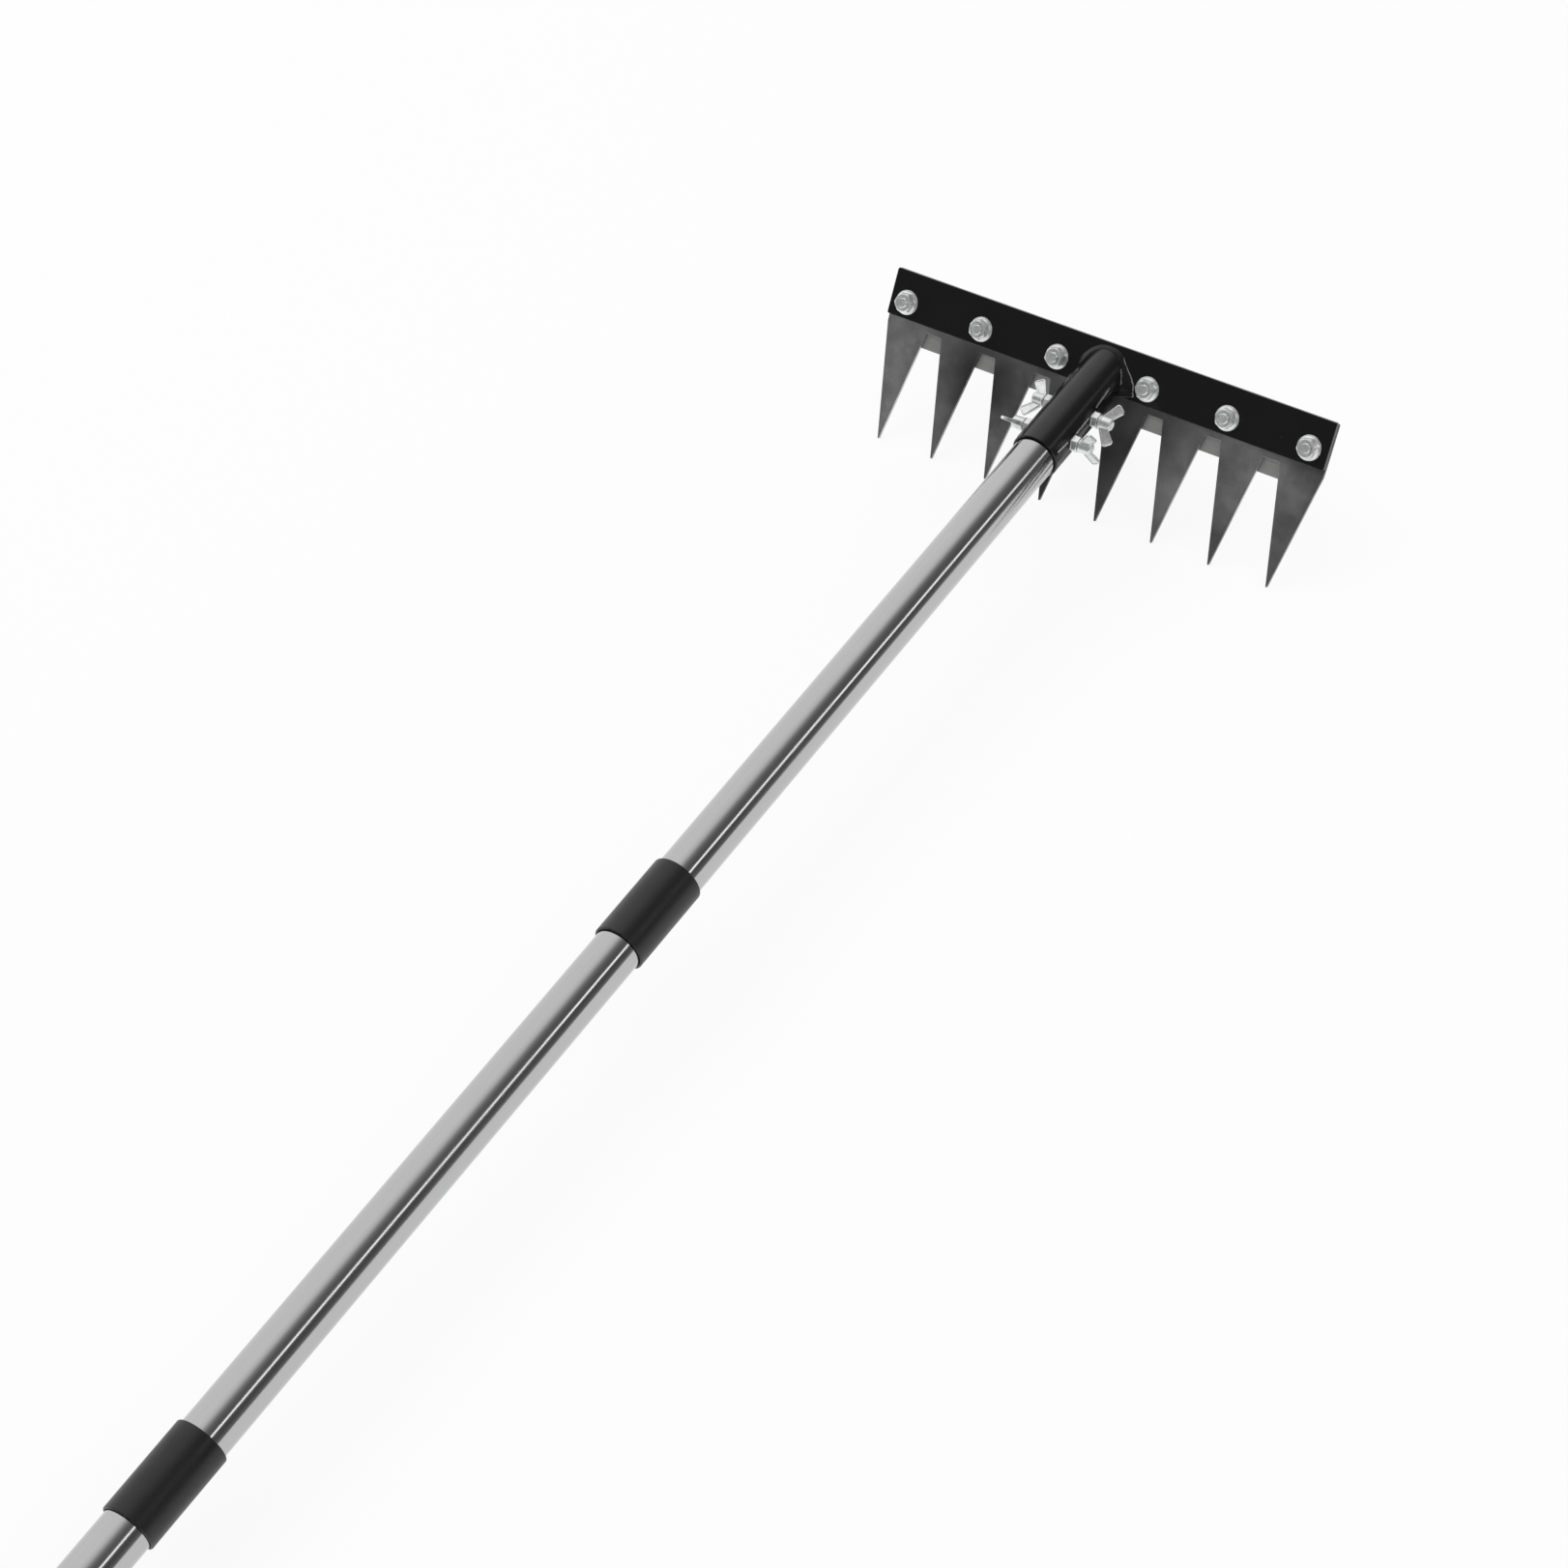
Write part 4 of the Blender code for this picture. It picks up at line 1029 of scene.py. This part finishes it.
poleEnd = jointPlaces[-1] + poleSizes["lastSection"]
endGap = poleSizes["endGap"]


def makePoleTubes():
    # Each section's wall, from its foot or joint to the next joint or the pole's end
    look = poleSizes
    outer = rakeStance["poleRadius"]
    inner = outer - look["wall"]
    foot = outer / math.tan(poleToTeeth) + look["footGap"]
    starts = [foot] + [place + endGap for place in jointPlaces]
    ends = [place - endGap for place in jointPlaces] + [poleEnd]
    for number, (start, end) in enumerate(zip(starts, ends), 1):
        corners = [(outer, start), (outer, end), (inner, end), (inner, start)]
        patch = turnedPatch(corners, [look["edge"]] * 4, look["edgeSteps"], look["columns"])
        addPiece("poleSection%d" % number, [patch], poleFrame, stainless, "pole_%d" % number,
                 ["pole_tube_%d" % number])


def makeCouplers():
    look = couplerSizes
    bore, outer, half = look["bore"], look["bore"] + look["wall"], look["length"] / 2.0
    radii = [look["innerEdge"], look["edge"], look["edge"], look["innerEdge"]]
    for number, place in enumerate(jointPlaces, 1):
        low, high = place - half, place + half
        corners = [(bore, low), (outer, low), (outer, high), (bore, high)]
        patch = turnedPatch(corners, radii, look["edgeSteps"], look["columns"])
        addPiece("couplerSleeve%d" % number, [patch], poleFrame, blackPlastic, "pole_%d" % number,
                 ["coupler_%d" % number])


def addAtJoints(name, radii, heights, look, body, node):
    # The same parts of radii and heights at each joint of the pole
    for number, place in enumerate(jointPlaces, 1):
        grid = revolved(radii, [np.add(part, place) for part in heights], look["columns"])
        addPiece(name + str(number), [patchOf(grid, loopRows=True)], poleFrame, blackPlastic,
                 body + str(number), [node + str(number)])


def makeSpigots():
    # A plain plug, then a coarse thread: radius less depth times the thread wave, and a bore
    look = spigotSizes
    shoulder, foot = -endGap, -look["inside"]
    plugRadius, cut, bore = look["plugRadius"], look["plugCut"], look["radius"] - look["wall"]
    threadRadius, threadHeight = threadedRod(
        shoulder + look["threadGap"], look["out"], look, look["rowsPerPitch"]
    )
    plug = [bore, plugRadius - cut, plugRadius, plugRadius, plugRadius - cut]
    plugHeight = [foot, foot, cut + foot, shoulder - cut, shoulder]
    heights = [plugHeight, threadHeight, [look["out"]]]
    addAtJoints("threadedPlug", [plug, threadRadius, [bore]], heights, look, "pole_", "spigot_")


def makeFerrules():
    # A sleeve whose bore follows the plug's thread one clearance away from it
    look = ferruleSizes
    low, cut, outer = endGap, look["rimCut"], spigotSizes["plugRadius"]
    height = np.linspace(low, low + look["length"], look["rows"])
    wave = threadWave(turnsOf(look["columns"]), height, spigotSizes["pitch"])
    bore = look["bore"] - spigotSizes["threadDepth"] * (1.0 - wave)
    rim = [outer - cut, outer, outer, outer - cut]
    heights = [height, [height[-1], height[-1] - cut, low + cut, low]]
    addAtJoints("threadedLining", [bore, rim], heights, look, "ferrule_", "ferrule_")


def makeEndCap():
    # Plug inside the tube, floor, sleeve outside it with three grooves, and a domed end
    look = capSizes
    start, end = poleEnd - look["cover"], poleEnd + look["pastTube"]
    floor, plugFoot = poleEnd + gap, poleEnd - look["plugLength"]
    sleeve, plug = couplerSizes["bore"], spigotSizes["plugRadius"]
    outer = sleeve + look["wall"]
    groove = outer - look["grooveDepth"]
    corners = [
        (0.0, plugFoot), (plug - look["plugEdge"], plugFoot), (plug, plugFoot + look["plugTaper"]),
        (plug, floor), (sleeve, floor), (sleeve, start), (outer, start),
    ]
    radii = [0.0, look["plugRound"], look["plugRound"], 0.0, 0.0]
    radii += [look["mouthRound"], couplerSizes["edge"]]
    for place in look["grooveAt"]:
        low = start + place - look["grooveWidth"] / 2.0
        high = start + place + look["grooveWidth"] / 2.0
        corners += [(outer, low), (groove, low), (groove, high), (outer, high)]
        radii += look["grooveRounds"]
    corners += [(outer, end), (0.0, end)]
    radii += [look["dome"], 0.0]
    patch = turnedPatch(corners, radii, look["edgeSteps"], look["columns"], False)
    # The dome's own round edge isn't scuffed
    patch["worn"] = patch["worn"] * (patch["grid"][..., 2] < (end - look["dome"]) * mm)
    addPiece("handEndCap", [patch], poleFrame, blackPlastic, "pole_4", ["end_cap"])


makePoleTubes()
makeCouplers()
makeSpigots()
makeFerrules()
makeEndCap()
print("pole made: 4 tubes, 3 couplers with their plugs and linings, and an end cap")


# Studio

studioSizes = {
    "floorHalf": 14.0, "floorTone": 0.95, "floorGlow": 0.86, "fill": 0.74, "background": 1.0,
}
# Brightness of the room by the angle about the pole, from its right over the top to its left,
# and towards the hand, with the two levels of Y between which one goes over into the other
roomLight = {
    "angles": (-180, -10, 0, 12, 25, 45, 58, 67, 76, 85, 94, 106, 118, 180),
    "levels": (1.0, 0.85, 0.25, 0.13, 0.09, 0.12, 0.15, 0.2, 0.33, 0.62, 0.86, 0.97, 1.0, 1.0),
    "handLevel": 0.13,
    "handSide": (-0.35, -0.05),
}
stripLamp = {
    "headEnd": (1.55, 2.0, 1.0), "handEnd": (1.45, -0.3, 1.5), "target": (0.0, 0.1, 0.05),
    "width": 0.23, "power": 3.0,
}
keyLamp = {
    "headEnd": (-1.4, 1.8, 2.2), "handEnd": (-1.4, -0.6, 2.2), "target": (0.0, 0.2, 0.0),
    "width": 1.8, "power": 15.0,
}
photoCamera = {
    "place": (0.749467, -0.460577, 1.291295),
    "right": (0.8211666, 0.5633142, -0.0914467),
    "up": (-0.3657888, 0.6425297, 0.6733158),
    "back": (0.4380456, -0.5194543, 0.7336779),
    "lens": 76.79924,
    "sensor": 36.0,
    "farthest": 50.0,
}


def greyOf(level):
    return (level, level, level, 1.0)


def addToScene(name, data):
    holder = bpy.data.objects.new(name, data)
    bpy.context.scene.collection.objects.link(holder)
    return holder


def makeFloor():
    # Plain and pale, and mostly glowing to the camera and in reflections, so a soft shadow stays
    half = studioSizes["floorHalf"]
    mesh = bpy.data.meshes.new("paleFloor")
    corners = [(-half, -half, 0.0), (half, -half, 0.0), (half, half, 0.0), (-half, half, 0.0)]
    mesh.from_pydata(corners, [], [(0, 1, 2, 3)])
    floor = addToScene("paleFloor", mesh)
    material = bpy.data.materials.new("paleFloor")
    material.use_nodes = True
    tree = material.node_tree
    tree.nodes.clear()
    rays = nodeIn(tree, "LightPath").outputs
    seen = mathIn(tree, "MAXIMUM", rays["Is Camera Ray"], rays["Is Glossy Ray"])
    seen = mathIn(tree, "MAXIMUM", seen, rays["Is Transmission Ray"])
    share = mathIn(tree, "MULTIPLY", seen, studioSizes["floorGlow"])
    tone = greyOf(studioSizes["floorTone"])
    plain = nodeIn(tree, "BsdfDiffuse", {"Color": tone}).outputs[0]
    glow = nodeIn(tree, "Emission", {"Color": greyOf(1.0), "Strength": 1.0}).outputs[0]
    mixed = nodeIn(tree, "MixShader", {0: share, 1: plain, 2: glow}).outputs[0]
    nodeIn(tree, "OutputMaterial", {"Surface": mixed})
    mesh.materials.append(material)


def makeWorld():
    # White to the camera; metal sees the room by its angle about the pole; the rest is plain fill
    world = bpy.data.worlds.new("studioRoom")
    bpy.context.scene.world = world
    world.use_nodes = True
    tree = world.node_tree
    tree.nodes.clear()
    look = nodeIn(tree, "TexCoord").outputs["Generated"]
    parts = nodeIn(tree, "SeparateXYZ", {0: look}).outputs
    angle = mathIn(tree, "ARCTAN2", parts["Z"], parts["X"])
    ramp = nodeIn(tree, "ValToRGB", {"Fac": rangeIn(tree, angle, -math.pi, math.pi)})
    stops = ramp.color_ramp.elements
    while len(stops) > 1:
        stops.remove(stops[-1])
    for number, (turn, level) in enumerate(zip(roomLight["angles"], roomLight["levels"])):
        position = (turn + 180.0) / 360.0
        stop = stops[0] if number == 0 else stops.new(position)
        stop.position = position
        stop.color = greyOf(level)
    handSide = rangeIn(tree, parts["Y"], *roomLight["handSide"])
    room = mixIn(tree, handSide, greyOf(roomLight["handLevel"]), ramp.outputs["Color"])
    rays = nodeIn(tree, "LightPath").outputs
    metalRay = mathIn(tree, "MAXIMUM", rays["Is Glossy Ray"], rays["Is Transmission Ray"])
    fill = mixIn(tree, metalRay, greyOf(studioSizes["fill"]), room)
    seen = mixIn(tree, rays["Is Camera Ray"], fill, greyOf(studioSizes["background"]))
    back = nodeIn(tree, "Background", {"Color": seen})
    nodeIn(tree, "OutputWorld", {"Surface": back.outputs[0]})


def makeLamp(name, look, glossy):
    # A panel whose long side runs between its two ends and whose face looks at the target
    headEnd, handEnd = np.array(look["headEnd"]), np.array(look["handEnd"])
    lamp = bpy.data.lights.new(name, "AREA")
    lamp.shape = "RECTANGLE"
    lamp.size = look["width"]
    lamp.size_y = float(np.linalg.norm(headEnd - handEnd))
    lamp.energy = look["power"]
    holder = addToScene(name, lamp)
    place = (headEnd + handEnd) / 2.0
    along = (headEnd - handEnd) / lamp.size_y
    back = place - np.array(look["target"])
    back = unit(back - (back @ along) * along)
    holder.matrix_world = Matrix(frameOf(np.cross(along, back), along, back, place).tolist())
    holder.visible_camera = False
    holder.visible_glossy = glossy


def makeCamera():
    look = photoCamera
    camera = bpy.data.cameras.new("photoCamera")
    camera.sensor_fit = "HORIZONTAL"
    camera.sensor_width = look["sensor"]
    camera.lens = look["lens"]
    camera.clip_end = look["farthest"]
    holder = addToScene("photoCamera", camera)
    lens = frameOf(look["right"], look["up"], look["back"], look["place"])
    holder.matrix_world = Matrix(lens.tolist())
    bpy.context.scene.camera = holder


makeFloor()
makeWorld()
makeLamp("stripLamp", stripLamp, True)
makeLamp("keyLamp", keyLamp, False)
makeCamera()
bpy.context.scene.view_settings.view_transform = "Standard"
bpy.context.view_layer.update()
print("studio and camera made")
